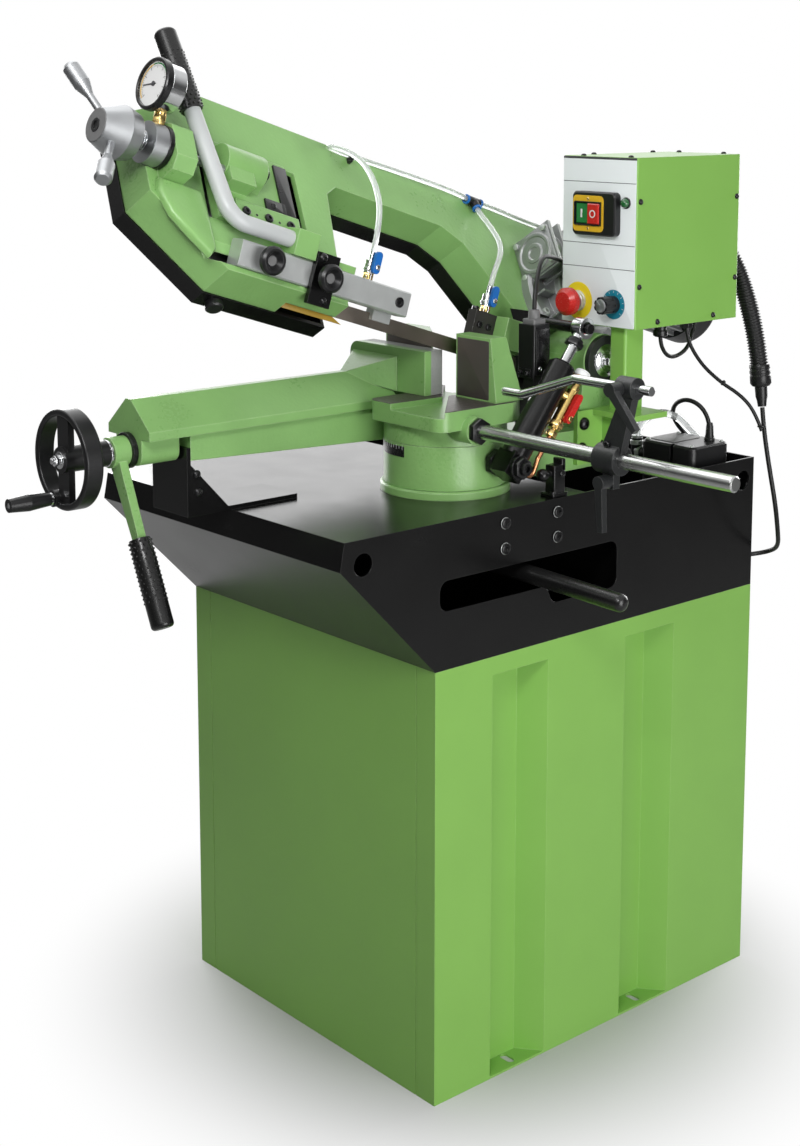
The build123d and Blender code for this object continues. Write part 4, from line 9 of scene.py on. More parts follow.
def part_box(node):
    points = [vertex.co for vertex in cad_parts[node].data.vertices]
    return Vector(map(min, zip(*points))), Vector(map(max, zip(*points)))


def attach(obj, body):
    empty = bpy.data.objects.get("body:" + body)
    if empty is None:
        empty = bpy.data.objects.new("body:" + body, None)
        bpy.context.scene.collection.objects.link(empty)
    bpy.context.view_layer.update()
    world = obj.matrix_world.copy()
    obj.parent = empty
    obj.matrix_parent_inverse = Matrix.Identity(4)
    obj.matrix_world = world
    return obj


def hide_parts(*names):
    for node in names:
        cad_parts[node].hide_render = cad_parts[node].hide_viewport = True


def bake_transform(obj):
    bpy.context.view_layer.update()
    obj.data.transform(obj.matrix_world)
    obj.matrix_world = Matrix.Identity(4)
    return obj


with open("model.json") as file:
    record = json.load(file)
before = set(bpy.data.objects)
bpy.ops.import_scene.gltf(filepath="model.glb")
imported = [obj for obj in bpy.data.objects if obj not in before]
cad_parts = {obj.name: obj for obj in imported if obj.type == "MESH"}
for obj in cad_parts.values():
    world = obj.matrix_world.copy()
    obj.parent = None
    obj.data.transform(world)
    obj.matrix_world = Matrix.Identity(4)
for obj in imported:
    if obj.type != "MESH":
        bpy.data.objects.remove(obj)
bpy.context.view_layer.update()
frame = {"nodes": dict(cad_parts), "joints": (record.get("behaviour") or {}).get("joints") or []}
scene = bpy.context.scene
scene.view_settings.view_transform = "Standard"


# Studio: a pale floor that melts into a white surround, with soft lamps on all sides and
# two small ones high in front. The camera stands at the operator's front right, where the
# photograph's stood, and is tilted slightly down.

class Wire:
    """A shader socket. Sums with it add Math nodes; node() adds any other node."""

    def __init__(self, tree, socket=None):
        self.tree = tree
        self.socket = socket

    def node(self, kind, settings=None, sockets=None, out=0):
        made = self.tree.nodes.new(kind)
        for name, value in (settings or {}).items():
            setattr(made, name, value)
        for name, value in (sockets or {}).items():
            if isinstance(value, Wire):
                self.tree.links.new(value.socket, made.inputs[name])
            else:
                made.inputs[name].default_value = value
        return Wire(self.tree, made.outputs[out])

    def math(self, operation, first, second):
        return self.node("ShaderNodeMath", {"operation": operation}, {0: first, 1: second})

    def __add__(self, other):
        return self.math("ADD", self, other)

    def __sub__(self, other):
        return self.math("SUBTRACT", self, other)

    def __rsub__(self, other):
        return self.math("SUBTRACT", other, self)

    def __mul__(self, other):
        return self.math("MULTIPLY", self, other)

    def __gt__(self, other):
        return self.math("GREATER_THAN", self, other)

    def __lt__(self, other):
        return self.math("LESS_THAN", self, other)

    __radd__ = __add__
    __rmul__ = __mul__

    def along(self, direction):
        """How far this vector goes along a direction."""
        pair = {0: self, 1: direction}
        return self.node("ShaderNodeVectorMath", {"operation": "DOT_PRODUCT"}, pair, out=1)

    def ramp(self, low, high, first=0.0, last=1.0, kind="SMOOTHSTEP"):
        """Goes from first to last while this value goes from low to high."""
        ends = {"Value": self, "From Min": low, "From Max": high, "To Min": first, "To Max": last}
        return self.node("ShaderNodeMapRange", {"interpolation_type": kind}, ends)

    def noise(self, scale, detail):
        """Clouds over the places that this vector gives."""
        return self.node("ShaderNodeTexNoise", None, {"Vector": self, "Scale": scale, "Detail": detail})

    def between(self, first, last):
        """A mix of two colours, by this value."""
        return self.node("ShaderNodeMix", {"data_type": "RGBA"}, {0: self, 6: first, 7: last}, out=2)

    def softened(self, radius):
        """The surface's direction, with its edges rounded off."""
        return self.node("ShaderNodeBevel", {"samples": 4}, {"Radius": radius})

    def bump(self, strength, depth, soft):
        """A relief of this height on a softened surface."""
        relief = {"Strength": strength, "Distance": depth, "Height": self, "Normal": soft}
        return self.node("ShaderNodeBump", None, relief)

    def into(self, node, socket):
        self.tree.links.new(self.socket, node.inputs[socket])


def kinds_of_ray(tree):
    """Ones for rays from the camera, from a mirror and through glass."""
    path = Wire(tree).node("ShaderNodeLightPath").socket.node
    return [Wire(tree, path.outputs[f"Is {kind} Ray"]) for kind in ("Camera", "Glossy", "Transmission")]


slot_of = {}


def new_finish(name, inputs, slot=None):
    """A new material, its shader with some inputs set, and the places on the piece that wears it. The
    CAD slot that it goes with has its own name unless another is given."""
    made = bpy.data.materials.new(name)
    slot_of[made.name] = slot or name
    made.use_nodes = True
    shader = made.node_tree.nodes["Principled BSDF"]
    for socket, value in inputs.items():
        shader.inputs[socket].default_value = value
    return made, shader, Wire(made.node_tree).node("ShaderNodeTexCoord", out=3)


def mesh_of(name, shape):
    """A finished shape as a mesh."""
    mesh = bpy.data.meshes.new(name)
    shape.to_mesh(mesh)
    shape.free()
    return mesh


def in_scene(name, content):
    """An object in the scene for a mesh, a curve, a lamp or a camera."""
    made = bpy.data.objects.new(name, content)
    scene.collection.objects.link(made)
    return made


ambient = 0.08
world = bpy.data.worlds.new("surround")
world.use_nodes = True
scene.world = world
surround = world.node_tree.nodes["Background"]
surround.inputs["Color"].default_value = (1, 1, 1, 1)
camera_ray, mirror_ray, glass_ray = kinds_of_ray(world.node_tree)
toward = camera_ray.node("ShaderNodeTexCoord", out=0)
overhead = toward.along((0, 0, 1))
ceiling = overhead.ramp(0.1, 0.85, ambient, 1.0)
wall = toward.along((-0.76, 0.65, 0)).ramp(0.3, 0.95, ambient, 2.2)
horizon = overhead.ramp(0.0, 0.2, 0.2, 1.0)
mirrored = toward.math("MAXIMUM", ceiling, wall * horizon)
brightness = ambient + (camera_ray + glass_ray) * (1 - ambient) + mirror_ray * (mirrored - ambient)
brightness.into(surround, "Strength")

floor_shape = bmesh.new()
bmesh.ops.create_circle(floor_shape, cap_ends=True, radius=9, segments=64)
floor = in_scene("floor", mesh_of("floor", floor_shape))
floor_paint, pale, on_floor = new_finish("floor_paint", {
    "Base Color": (0.48, 0.48, 0.48, 1), "Roughness": 0.7})
camera_ray, mirror_ray, glass_ray = kinds_of_ray(on_floor.tree)
from_middle = on_floor.node("ShaderNodeVectorMath", {"operation": "LENGTH"}, {0: on_floor}, out=1)
seen = on_floor.math("MAXIMUM", camera_ray, on_floor.math("MAXIMUM", mirror_ray * 0.06, glass_ray))
white = on_floor.node("ShaderNodeEmission", None, {"Strength": 1.0})
melting = on_floor.node("ShaderNodeMixShader", None, {
    0: from_middle.ramp(0.24, 0.68) * seen, 1: Wire(on_floor.tree, pale.outputs[0]), 2: white})
melting.into(on_floor.tree.nodes["Material Output"], "Surface")
floor.data.materials.append(floor_paint)

for lamp_name, place, aim, size, power in (
    ("lamp_right", (2.7, -0.4, 0.8), (0, 0, 0.8), 1.6, 47),
    ("lamp_front", (0.35, -1.25, 2.0), (0.1, 0, 1.2), 0.5, 4),
    ("lamp_key", (1.2, -1.5, 2.0), (0.1, 0, 1.1), 0.5, 17),
    ("lamp_top", (-0.7, -0.4, 2.9), (0, 0, 0.8), 1.4, 13),
    ("lamp_back", (0.1, 2.8, 1.3), (0, 0, 0.8), 1.4, 40),
    ("lamp_left", (-2.7, 0.4, 1.2), (0, 0, 0.8), 1.4, 34),
):
    lamp = bpy.data.lights.new(lamp_name, "AREA")
    lamp.energy = power
    lamp.size = size
    lamp_stand = in_scene(lamp_name, lamp)
    lamp_stand.location = place
    lamp_stand.rotation_euler = (Vector(aim) - Vector(place)).to_track_quat("-Z", "Y").to_euler()

lens = bpy.data.cameras.new("camera")
lens.lens = 56.5
lens.sensor_width = 36
lens.shift_y = -0.2
lens.clip_end = 60
look_down, look_left = 8.09, 49.1
camera = in_scene("camera", lens)
camera.location = (1.961, -1.8118, 1.3683)
camera.rotation_euler = (math.radians(90 - look_down), 0, math.radians(look_left))
scene.camera = camera


# Cabinet: folded and welded sheet steel, powder coated light green all over. The coat
# has a fine orange peel and rounds off the folded edges a little.

def toned(colour, share):
    """A darker or lighter shade of a colour."""
    return (*(min(1, channel * share) for channel in colour), 1)


def coated(name, colour, rough, grain, depth, metal=0.0, tone=0.1, edge=None, soften=0.0012,
           coat=0.0, shine=0.5, past=None, slot=None):
    """A finish with cloudy tone, fine grain and softened edges, which take a paler edge colour that is
    partly wear and partly a painted highlight. Past a plane, given by its direction and distance, it can
    change to another colour, roughness and metal."""
    made, shader, where = new_finish(name, {
        "Metallic": metal, "Coat Weight": coat, "Specular IOR Level": shine}, slot)
    cloud = where.noise(11.0, 4.0)
    fine = where.noise(grain, 2.0)
    shade = cloud.between(toned(colour, 1 - tone), toned(colour, 1 + tone))
    gloss = rough + (cloud - 0.5) * 0.12 + (fine - 0.5) * 0.06
    soft = where.softened(soften)
    # Edges take the edge colour: partly worn paint, partly a painted highlight along them.
    if edge:
        flat = where.node("ShaderNodeNewGeometry", out=1)
        edge_wear_and_highlight = soft.along(flat).ramp(0.985, 0.9, kind="LINEAR")
        shade = (edge_wear_and_highlight * where.noise(60.0, 5.0)).between(shade, (*edge, 1))
    if past:
        direction, distance, other, other_rough, other_metal = past
        side = where.along(direction) > distance
        lines = where.noise(240.0, 4.0)
        shade = side.between(shade, lines.between(toned(other, 0.8), (*other, 1)))
        gloss = gloss + side * (other_rough - gloss + (lines - 0.5) * 0.2)
        (metal + side * (other_metal - metal)).into(shader, "Metallic")
    shade.into(shader, "Base Color")
    gloss.into(shader, "Roughness")
    fine.bump(0.6, depth, soft).into(shader, "Normal")
    return made


def dress(finish, *nodes):
    """Give CAD nodes a finish."""
    for node in nodes:
        for place in frame["nodes"][node].material_slots:
            place.material = finish


# The pale edge colour on the folds is partly wear and partly a painted highlight.
green_sheet = coated("green_sheet", (0.215, 0.45, 0.085), 0.36, 420, 0.00012, tone=0.05,
                     edge=(0.4, 0.6, 0.24))
dress(green_sheet, "cabinet", "control_box", "post_bracket")


# Coolant tray: folded sheet, satin black. Its deck mirrors the bright surround at a low
# angle. Four socket screws hold the turntable's base plate from the right side, and a
# black index stop with a ball knob stands on the edge.

black_satin = coated("black_satin", (0.004, 0.004, 0.004), 0.24, 500, 0.0001, tone=0.3,
                     edge=(0.03, 0.03, 0.03), shine=0.35)
dress(black_satin, "coolant_tray", "wheel_cover", "lift_bracket", "feed_cylinder", "guide_clamp_plate")

mm = 0.001
drawing_behind = 37.5
right, front, back, down = (1, 0, 0), (0, -1, 0), (0, 1, 0), (0, 0, -1)


def spot(x, y, z):
    """A place on the drawing, in millimetres, as a point of the frame. The drawing's origin lies
    behind the frame's."""
    return Vector((x, y + drawing_behind, z)) * mm


def stand(place, axis=(0, 0, 1), across=None):
    """Sets a shape drawn in millimetres on its place, with its own Z along axis and its X near across."""
    up = Vector(axis).normalized()
    across = Vector(across or ((0, 1, 0) if abs(up.x) > 0.5 else (1, 0, 0)))
    side = (across - up * up.dot(across)).normalized()
    turn = Matrix((side, up.cross(side), up)).transposed().to_4x4()
    return Matrix.Translation(place) @ turn @ Matrix.Scale(mm, 4)


def turned(profile, steps=28, socket=0.0):
    """Spins (radius, height) points about the axis; inside the socket radius the rings are hexagons."""
    flat_share = 0.866
    shape = bmesh.new()
    line = [shape.verts.new((radius, 0, height)) for radius, height in profile]
    for first, second in zip(line, line[1:]):
        shape.edges.new((first, second))
    bmesh.ops.spin(shape, geom=shape.verts[:] + shape.edges[:], cent=(0, 0, 0), axis=(0, 0, 1),
                   angle=2 * math.pi, steps=steps, use_merge=True)
    bmesh.ops.remove_doubles(shape, verts=shape.verts, dist=0.0005)
    for corner in shape.verts:
        if 0.01 < corner.co.xy.length < socket:
            turn = math.atan2(corner.co.y, corner.co.x) % (math.pi / 3) - math.pi / 6
            corner.co.xy = corner.co.xy * (flat_share / math.cos(turn))
    return shape


def soften_edges(shape, edges, offset, segments=2):
    """Bevels some edges of a shape."""
    bmesh.ops.bevel(shape, geom=edges, offset=offset, offset_type="OFFSET", affect="EDGES",
                    segments=segments, profile=0.5, material=-1, clamp_overlap=True)


def slab(width, depth, height, corner=0.0, edge=0.4):
    """A plate or block drawn on its foot, with rounded corners and broken edges."""
    shape = bmesh.new()
    sized = Matrix.Translation((0, 0, height / 2)) @ Matrix.Diagonal((width, depth, height, 1))
    bmesh.ops.create_cube(shape, size=1, matrix=sized)
    if corner:
        upright = [e for e in shape.edges if abs(e.verts[0].co.z - e.verts[1].co.z) > height * 0.9]
        soften_edges(shape, upright, corner, 6)
    if edge:
        soften_edges(shape, [e for e in shape.edges if e.calc_face_angle(0) > 0.7], edge)
    return shape


def cap_screw(radius, height):
    """A socket head screw."""
    return turned([
        (0, 0.3 * height), (0.52 * radius, 0.3 * height), (0.55 * radius, height), (0.86 * radius, height),
        (radius, 0.86 * height), (radius, 0), (0, 0)], 24, 0.56 * radius)


def piece_of(name, shapes, finish, body, slot=None):
    """Joins shapes, each with its place and axis, into one piece with a finish, riding on a body."""
    whole = bmesh.new()
    for shape, *placing in shapes:
        shape.transform(stand(*placing))
        bmesh.ops.recalc_face_normals(shape, faces=shape.faces)
        part = mesh_of("part", shape)
        whole.from_mesh(part)
        bpy.data.meshes.remove(part)
    mesh = mesh_of(name, whole)
    mesh.shade_smooth()
    mesh.set_sharp_from_angle(angle=math.radians(35))
    mesh.materials.append(finish)
    piece = in_scene(name, mesh)
    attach(piece, body)
    slot or slot_of[finish.name]
    return piece


black_oxide = coated("black_oxide", (0.006, 0.006, 0.0065), 0.28, 900, 0.00005, metal=0.2, tone=0.2,
                     edge=(0.1, 0.1, 0.1), soften=0.0005, slot="black_paint")
tray_screw_places = [spot(275, y, z) for y in (-202, -102) for z in (791, 756)]
piece_of("tray_screws", [(cap_screw(7.4, 4), place, right) for place in tray_screw_places],
         black_oxide, "base")
ball = turned([(0, 0), (4, 0), (4, 6), (6.4, 8), (8.6, 12), (9, 15.5), (8, 19.5), (5, 22.6), (0, 24)])
piece_of("index_stop", [
    (slab(18, 22, 44, 2, 1), spot(260, -92, 810)),
    (slab(18, 8, 16, 2, 1), spot(260, -84, 846)),
    (slab(26, 30, 5, 3, 0.8), spot(258, -92, 810)),
    (ball, spot(260, -102, 842), front),
    (cap_screw(5, 3), spot(269, -88, 842), right),
    (cap_screw(4, 3), spot(266, -103, 815)),
], black_oxide, "base")


# Turntable: an iron drum with a swept arm and a hinge pedestal, under a thick coat of
# green enamel that follows the rough cast skin and is thin and pale on the edges: worn there,
# with a painted highlight too. A small black plate with degree marks is let into the drum's front.

# The pale edge colour stands for thin worn enamel and for a painted highlight.
enamel = {"colour": (0.225, 0.43, 0.14), "rough": 0.3, "grain": 190, "depth": 0.0006, "tone": 0.18,
          "edge": (0.5, 0.68, 0.38), "soften": 0.0022}
green_casting = coated("green_casting", **enamel)
dress(green_casting, "turntable_base", "turntable_arm", "vise_rail", "vise_beam", "clamp_lever",
      "bow_casting", "idler_slide")

pivot = {joint["name"]: Vector(joint["pos_m"]) for joint in frame["joints"] if "pos_m" in joint}
drum_radius, plate_height, marks_height = 0.0868, 0.873, 0.8788
plate = []
marks = []
for degree in range(-125, -84, 4):
    angle = math.radians(degree)
    out = Vector((math.cos(angle), math.sin(angle), 0))
    across = (-out.y, out.x, 0)
    on_drum = pivot["turntable_turn"].xy.to_3d() + out * drum_radius
    plate.append((slab(6.3, 15, 0.8, 0, 0), on_drum + Vector((0, 0, plate_height)), out, across))
    tick = slab(0.5, 7 if degree % 8 == 3 else 4, 0.4, 0, 0)
    marks.append((tick, on_drum + out * 0.0006 + Vector((0, 0, marks_height)), out, across))
piece_of("degree_plate", plate, black_oxide, "turntable")

mark_white = coated("mark_white", (0.75, 0.76, 0.76), 0.35, 600, 0.00003, tone=0.03, slot="chrome_plate")
piece_of("degree_marks", marks, mark_white, "turntable")


# Table and fixed jaws: green castings whose working faces are milled bare and have gone
# brown-grey with oil. A thin rim of enamel is left round the jaw faces.

milled = (0.085, 0.074, 0.066)
milled_depth = 0.0007
table_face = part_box("saw_table")[1].z - milled_depth
table_casting = coated("table_casting", **enamel, past=((0, 0, 1), table_face, milled, 0.42, 0.4))
dress(table_casting, "saw_table")
dress(green_casting, "fixed_jaws")
milled_iron = coated("milled_iron", milled, 0.42, 700, 0.00008, metal=0.4, tone=0.2,
                     edge=(0.3, 0.28, 0.26), soften=0.0006, slot="dark_casting")
piece_of("jaw_faces", [
    (slab(64, 82, 0.3, 2, 0.1), spot(165.5, -160, 983.5), front),
    (slab(97, 80, 0.3, 1, 0.1), spot(31, -160, 982.5), front),
], milled_iron, "base")


# Vise: a ridged beam on a cast rail, a jaw with a bare grey iron face, and a screw with a
# black moulded handwheel, whose rim is a wide flat band. The lever behind the wheel clamps
# the jaw by part of a turn.

jaw_face = spot(0, -183, 0).y
jaw_casting = coated("jaw_casting", **enamel, past=(back, jaw_face, (0.34, 0.345, 0.34), 0.5, 0.1))
dress(jaw_casting, "vise_jaw")


def machined(name, colour, rough, stretch, metal=1.0, slot=None):
    """A bare metal finish with fine lines along one direction."""
    made, shader, where = new_finish(name, {"Metallic": metal}, slot)
    stretched = where.node("ShaderNodeMapping", None, {"Vector": where, "Scale": stretch})
    lines = stretched.noise(30.0, 3.0)
    cloud = where.noise(45.0, 4.0)
    cloud.between(toned(colour, 0.82), (*colour, 1)).into(shader, "Base Color")
    (rough + (lines - 0.5) * 0.16 + (cloud - 0.5) * 0.12).into(shader, "Roughness")
    lines.bump(0.25, 0.0001, where.softened(0.0008)).into(shader, "Normal")
    return made


blade_steel = machined("blade_steel", (0.3, 0.26, 0.22), 0.34, (40, 2, 40))
chrome_plate = machined("chrome_plate", (0.78, 0.79, 0.8), 0.12, (3, 30, 30))
black_plastic = coated("black_plastic", (0.008, 0.008, 0.0085), 0.32, 900, 0.0001, tone=0.2,
                       edge=(0.03, 0.03, 0.03), soften=0.0009, shine=0.4)
grip_rubber = coated("grip_rubber", (0.006, 0.006, 0.006), 0.27, 700, 0.0001, tone=0.2)
dress(blade_steel, "vise_screw")
dress(black_plastic, "vise_handwheel", "crank_handle")
dress(grip_rubber, "clamp_lever_grip", "handle_grip", "lock_lever")


def ring(outer, inner, length):
    """A turned ring with broken edges."""
    return turned([(inner, 0), (outer - 0.5, 0), (outer, 0.5), (outer, length - 0.5), (outer - 0.5, length),
                   (inner, length), (inner, 0)], 36)


def hexagon(across_flats, height, edge=0.7):
    """A hexagon nut or bolt head."""
    shape = bmesh.new()
    radius = across_flats / math.sqrt(3)
    bmesh.ops.create_cone(shape, cap_ends=True, segments=6, radius1=radius, radius2=radius, depth=height,
                          matrix=Matrix.Translation((0, 0, height / 2)))
    soften_edges(shape, shape.edges[:], edge)
    return shape


wheel_turn = "vise_handwheel_turn"


def on_axis(joint, y):
    """A place on a joint's axis that runs from front to back."""
    return Vector((pivot[joint].x, spot(0, y, 0).y, pivot[joint].z))


piece_of("beam_ring", [(ring(24, 9, 7.6), on_axis(wheel_turn, -620.8), back)], black_oxide, "vise")
piece_of("wheel_ring", [(ring(17.8, 16.9, 4), on_axis(wheel_turn, -649.6), back)], chrome_plate, "screw")
piece_of("wheel_nut", [
    (turned([(0, 0), (11, 0), (11, 1.6), (9, 2), (0, 2)]), on_axis(wheel_turn, -715), front),
    (hexagon(13, 7), on_axis(wheel_turn, -717), front),
    (turned([(0, 0), (4, 0), (4, 3), (3, 4), (0, 4)]), on_axis(wheel_turn, -724), front),
], chrome_plate, "screw")
piece_of("crank_ferrule", [
    (ring(8.6, 3.9, 5), on_axis("crank_spin", -717.6), front),
    (turned([(0, 0), (5, 0), (5, 1), (4, 1.8), (0, 1.8)]), on_axis("crank_spin", -777), front),
], chrome_plate, "screw")


def pips(start, axis):
    """Moulded pips in staggered rows round a grip."""
    rows, pitch, around, grip_radius = 14, 6, 13, 14.9
    up = axis.normalized()
    side = up.orthogonal().normalized()
    shapes = []
    for row in range(rows):
        for step in range(around):
            angle = (step + 0.5 * (row % 2)) * 2 * math.pi / around
            out = Matrix.Rotation(angle, 3, up) @ side
            pip = bmesh.new()
            bmesh.ops.create_cone(pip, cap_ends=True, segments=6, radius1=2.1, radius2=0.9, depth=2.2)
            shapes.append((pip, start + up * mm * (4 + row * pitch) + out * mm * grip_radius, out, up))
    return shapes


lever_lean, lever_to_grip = math.radians(26), 0.118
lever_axis = Vector((math.sin(lever_lean), 0, -math.cos(lever_lean)))
lever_grip = pivot["quick_clamp_turn"] + lever_axis * lever_to_grip
piece_of("lever_pips", pips(lever_grip, lever_axis), grip_rubber, "quick_clamp")


# Rail bracket: black plates welded to the tray, with two black bolts in their side. The
# tray's four screws sit in bright rings.

def dome_screw(radius, height):
    """A button head screw."""
    return turned([
        (0, 0.45 * height), (0.4 * radius, 0.45 * height), (0.43 * radius, 0.98 * height),
        (0.72 * radius, 0.8 * height), (0.93 * radius, 0.45 * height), (radius, 0.1 * height),
        (radius, 0), (0, 0)], 24, 0.45 * radius)


zinc_plate = machined("zinc_plate", (0.6, 0.62, 0.61), 0.36, (12, 12, 12), metal=0.6)
piece_of("rail_bolts", [(dome_screw(6, 4), spot(37, y, z), right) for y, z in ((-536, 866), (-534, 842))],
         black_oxide, "base")
piece_of("tray_rings", [(ring(8.2, 7.4, 0.9), place, right) for place in tray_screw_places],
         zinc_plate, "base")


# Length stop: a plated rod screwed into the table, with graduations along its top, a
# black nut, a wrinkle-coated arm, a bent chromed finger and two clamp levers.

dark_casting = coated("dark_casting", (0.014, 0.015, 0.0155), 0.36, 260, 0.0007, tone=0.3,
                      edge=(0.08, 0.08, 0.08))
bright_steel = machined("bright_steel", (0.6, 0.61, 0.6), 0.24, (4, 40, 40))
dress(bright_steel, "stop_rod")
dress(chrome_plate, "stop_finger")
dress(dark_casting, "stop_arm", "finger_clamp_lever", "rod_clamp_lever")
rod_y, rod_z, rod_top = -211, 911, 920.8
piece_of("rod_nut", [(hexagon(32, 9, 1.2), spot(229, rod_y, rod_z), right)], black_oxide, "base")
piece_of("rod_marks", [
    (slab(0.6, 6 if step % 2 else 3.6, 0.3, 0, 0), spot(250 + step * 5, rod_y, rod_top))
    for step in range(82)
], black_oxide, "base")
piece_of("stop_arm_screws", [
    (cap_screw(5, 4), spot(495, -226, 1004), front),
    (cap_screw(4.5, 4), spot(472, -218, 930), front),
], black_oxide, "stop")


# Control post and box: green sheet. The box's front is a pale grey plate with thin dark
# lines; its lid and side are held by small black button screws. The bracket has three
# large ones.

piece_of("bracket_screws", [
    (dome_screw(9.5, 6), spot(220, y, z), right) for y, z in ((7, 893), (3, 857), (50, 857))
], black_oxide, "turntable")
lid_z, side_x = 1273, 292
lid_screws = [(184, 37), (274, 37), (180, 249), (265, 249), (158, 86), (158, 215)]
side_screws = [(y, z) for y in (38, 248) for z in (1212, 1093)] + [(78, 1041), (200, 1041)]
piece_of("box_screws", [(dome_screw(4.2, 3), spot(x, y, lid_z)) for x, y in lid_screws]
         + [(dome_screw(4.2, 3), spot(side_x, y, z), right) for y, z in side_screws],
         black_oxide, "turntable")

panel_x = 222
panel_grey = coated("panel_grey", (0.8, 0.84, 0.85), 0.32, 500, 0.00003, tone=0.03, soften=0.0004,
                    slot="satin_aluminium")
ink = coated("ink", (0.05, 0.05, 0.055), 0.4, 500, 0.00003, tone=0.1, slot="black_plastic")
piece_of("front_panel", [(slab(138.5, 238, 0.9, 2, 0.2), spot(panel_x, 30, 1153), front)],
         panel_grey, "turntable")
piece_of("panel_lines", [
    (slab(138, 0.9, 0.15, 0, 0), spot(panel_x, 29.1, z), front) for z in (1237, 1150, 1116)
] + [(slab(139, 3.2, 1.1, 0, 0.2), spot(panel_x, 30, 1270.8), front)], ink, "turntable")
dress(black_plastic, "switch_frame", "speed_knob")


def window(width, depth, height, corner, hole_width, hole_depth):
    """A flat frame: a rounded plate with an open window."""
    shape = slab(width, depth, height, corner, 0)
    ends = [face for face in shape.faces if abs(face.normal.z) > 0.9]
    bmesh.ops.inset_individual(shape, faces=ends, thickness=0.6)
    for face in ends:
        for point in face.verts:
            point.co.x = math.copysign(hole_width / 2, point.co.x)
            point.co.y = math.copysign(hole_depth / 2, point.co.y)
    bmesh.ops.delete(shape, geom=ends, context="FACES_ONLY")
    bmesh.ops.remove_doubles(shape, verts=shape.verts, dist=0.001)
    bmesh.ops.bridge_loops(shape, edges=[edge for edge in shape.edges if edge.is_boundary])
    return shape


switch_x, switch_z = 213, 1193
yellow_plastic = coated("yellow_plastic", (0.72, 0.43, 0.02), 0.3, 700, 0.00005, tone=0.05, soften=0.0006,
                        slot="brass")
piece_of("switch_plate", [(window(58, 51, 1.2, 7, 51, 34), spot(switch_x, 17.2, switch_z), front)],
         yellow_plastic, "turntable")
piece_of("switch_bezel", [(window(51, 34, 3.4, 3, 48.6, 30.6), spot(switch_x, 17.2, switch_z), front)],
         black_plastic, "turntable")
turned_brass = machined("turned_brass", (0.72, 0.52, 0.2), 0.25, (30, 30, 30), slot="brass")
piece_of("switch_screws", [
    (dome_screw(2.4, 1.2), spot(switch_x, 16.1, switch_z + rise), front) for rise in (21, -21)
], turned_brass, "turntable")

red_plastic = coated("red_plastic", (0.52, 0.018, 0.014), 0.26, 800, 0.00006, tone=0.06, soften=0.0008)
green_plastic = coated("green_plastic", (0.02, 0.2, 0.045), 0.26, 800, 0.00006, tone=0.06, soften=0.0008)
dress(red_plastic, "stop_button", "estop_button")
dress(green_plastic, "start_button")
piece_of("start_mark", [(slab(3, 12, 0.3, 0.5, 0), spot(200.7, 16, switch_z), front)], mark_white, "start")
circle = turned([(4, 0), (5.6, 0), (5.6, 0.3), (4, 0.3), (4, 0)])
piece_of("stop_mark", [(circle, spot(225.3, 12, switch_z), front)], mark_white, "halt")

lamp_place = spot(274, 29.2, 1210)
lamp_green = coated("lamp_green", (0.005, 0.1, 0.02), 0.1, 900, 0.00002, tone=0.1, coat=0.8,
                    slot="green_plastic")
lamp_dome = turned([(0, 0), (6.5, 0), (6.5, 4), (5.6, 7), (3.4, 9), (0, 9.8)])
piece_of("lamp_lens", [(lamp_dome, lamp_place, front)], lamp_green, "turntable")
piece_of("lamp_ring", [(ring(8, 6.4, 2.4), lamp_place, front)], black_plastic, "turntable")

stop_yellow = coated("stop_yellow", (0.82, 0.66, 0.02), 0.32, 600, 0.00003, tone=0.03, soften=0.0004,
                     slot="brass")
estop_x, estop_z = 185, 1066
piece_of("estop_disc", [(ring(27, 8.3, 0.8), spot(estop_x, 29.2, estop_z), front)], stop_yellow, "turntable")
collar = turned([(8.4, 0), (15, 0), (15, 2.4), (14, 3), (14, 7), (13, 7.8), (8.4, 7.8), (8.4, 0)])
piece_of("estop_collar", [(collar, spot(estop_x, 28.6, estop_z), front)], zinc_plate, "turntable")

dial_teal = coated("dial_teal", (0.006, 0.2, 0.29), 0.35, 600, 0.00003, tone=0.05, soften=0.0004,
                   slot="blue_plastic")
piece_of("speed_disc", [(ring(21, 4, 0.8), on_axis("speed_turn", 29.2), front)], dial_teal, "turntable")
speed_marks = []
for step in range(11):
    turn = math.radians(step * 27 - 135)
    outward = Vector((math.sin(turn), 0, math.cos(turn)))
    place = on_axis("speed_turn", 28.5) + outward * 0.018
    speed_marks.append((slab(0.6, 3, 0.2, 0, 0), place, front, (outward.z, 0, -outward.x)))
piece_of("speed_marks", speed_marks, mark_white, "turntable")
satin_aluminium = machined("satin_aluminium", (0.4, 0.41, 0.42), 0.44, (20, 60, 20))
piece_of("speed_cap", [
    (turned([(0, 0), (9.4, 0), (9.4, 0.8), (8.8, 1.2), (0, 1.2)]), on_axis("speed_turn", 2.1), front),
    (slab(1.2, 10, 0.5, 0, 0), spot(249, 1.1, 1070), front, (0.7, 0, 0.7)),
], satin_aluminium, "speed")
gland = turned([(0, 0), (12, 0), (12, 3), (9, 4), (9, 10), (11, 11), (11, 18), (8, 20), (0, 20)], 12)
piece_of("box_gland", [
    (gland, spot(262, 120, 1033), down),
    (hexagon(17, 10), spot(272, 165, 1033), down),
], black_plastic, "turntable")


# Limit switch: a black moulded body with a screwed lid and a grey cable gland on top. A
# bright plunger comes out of its foot.

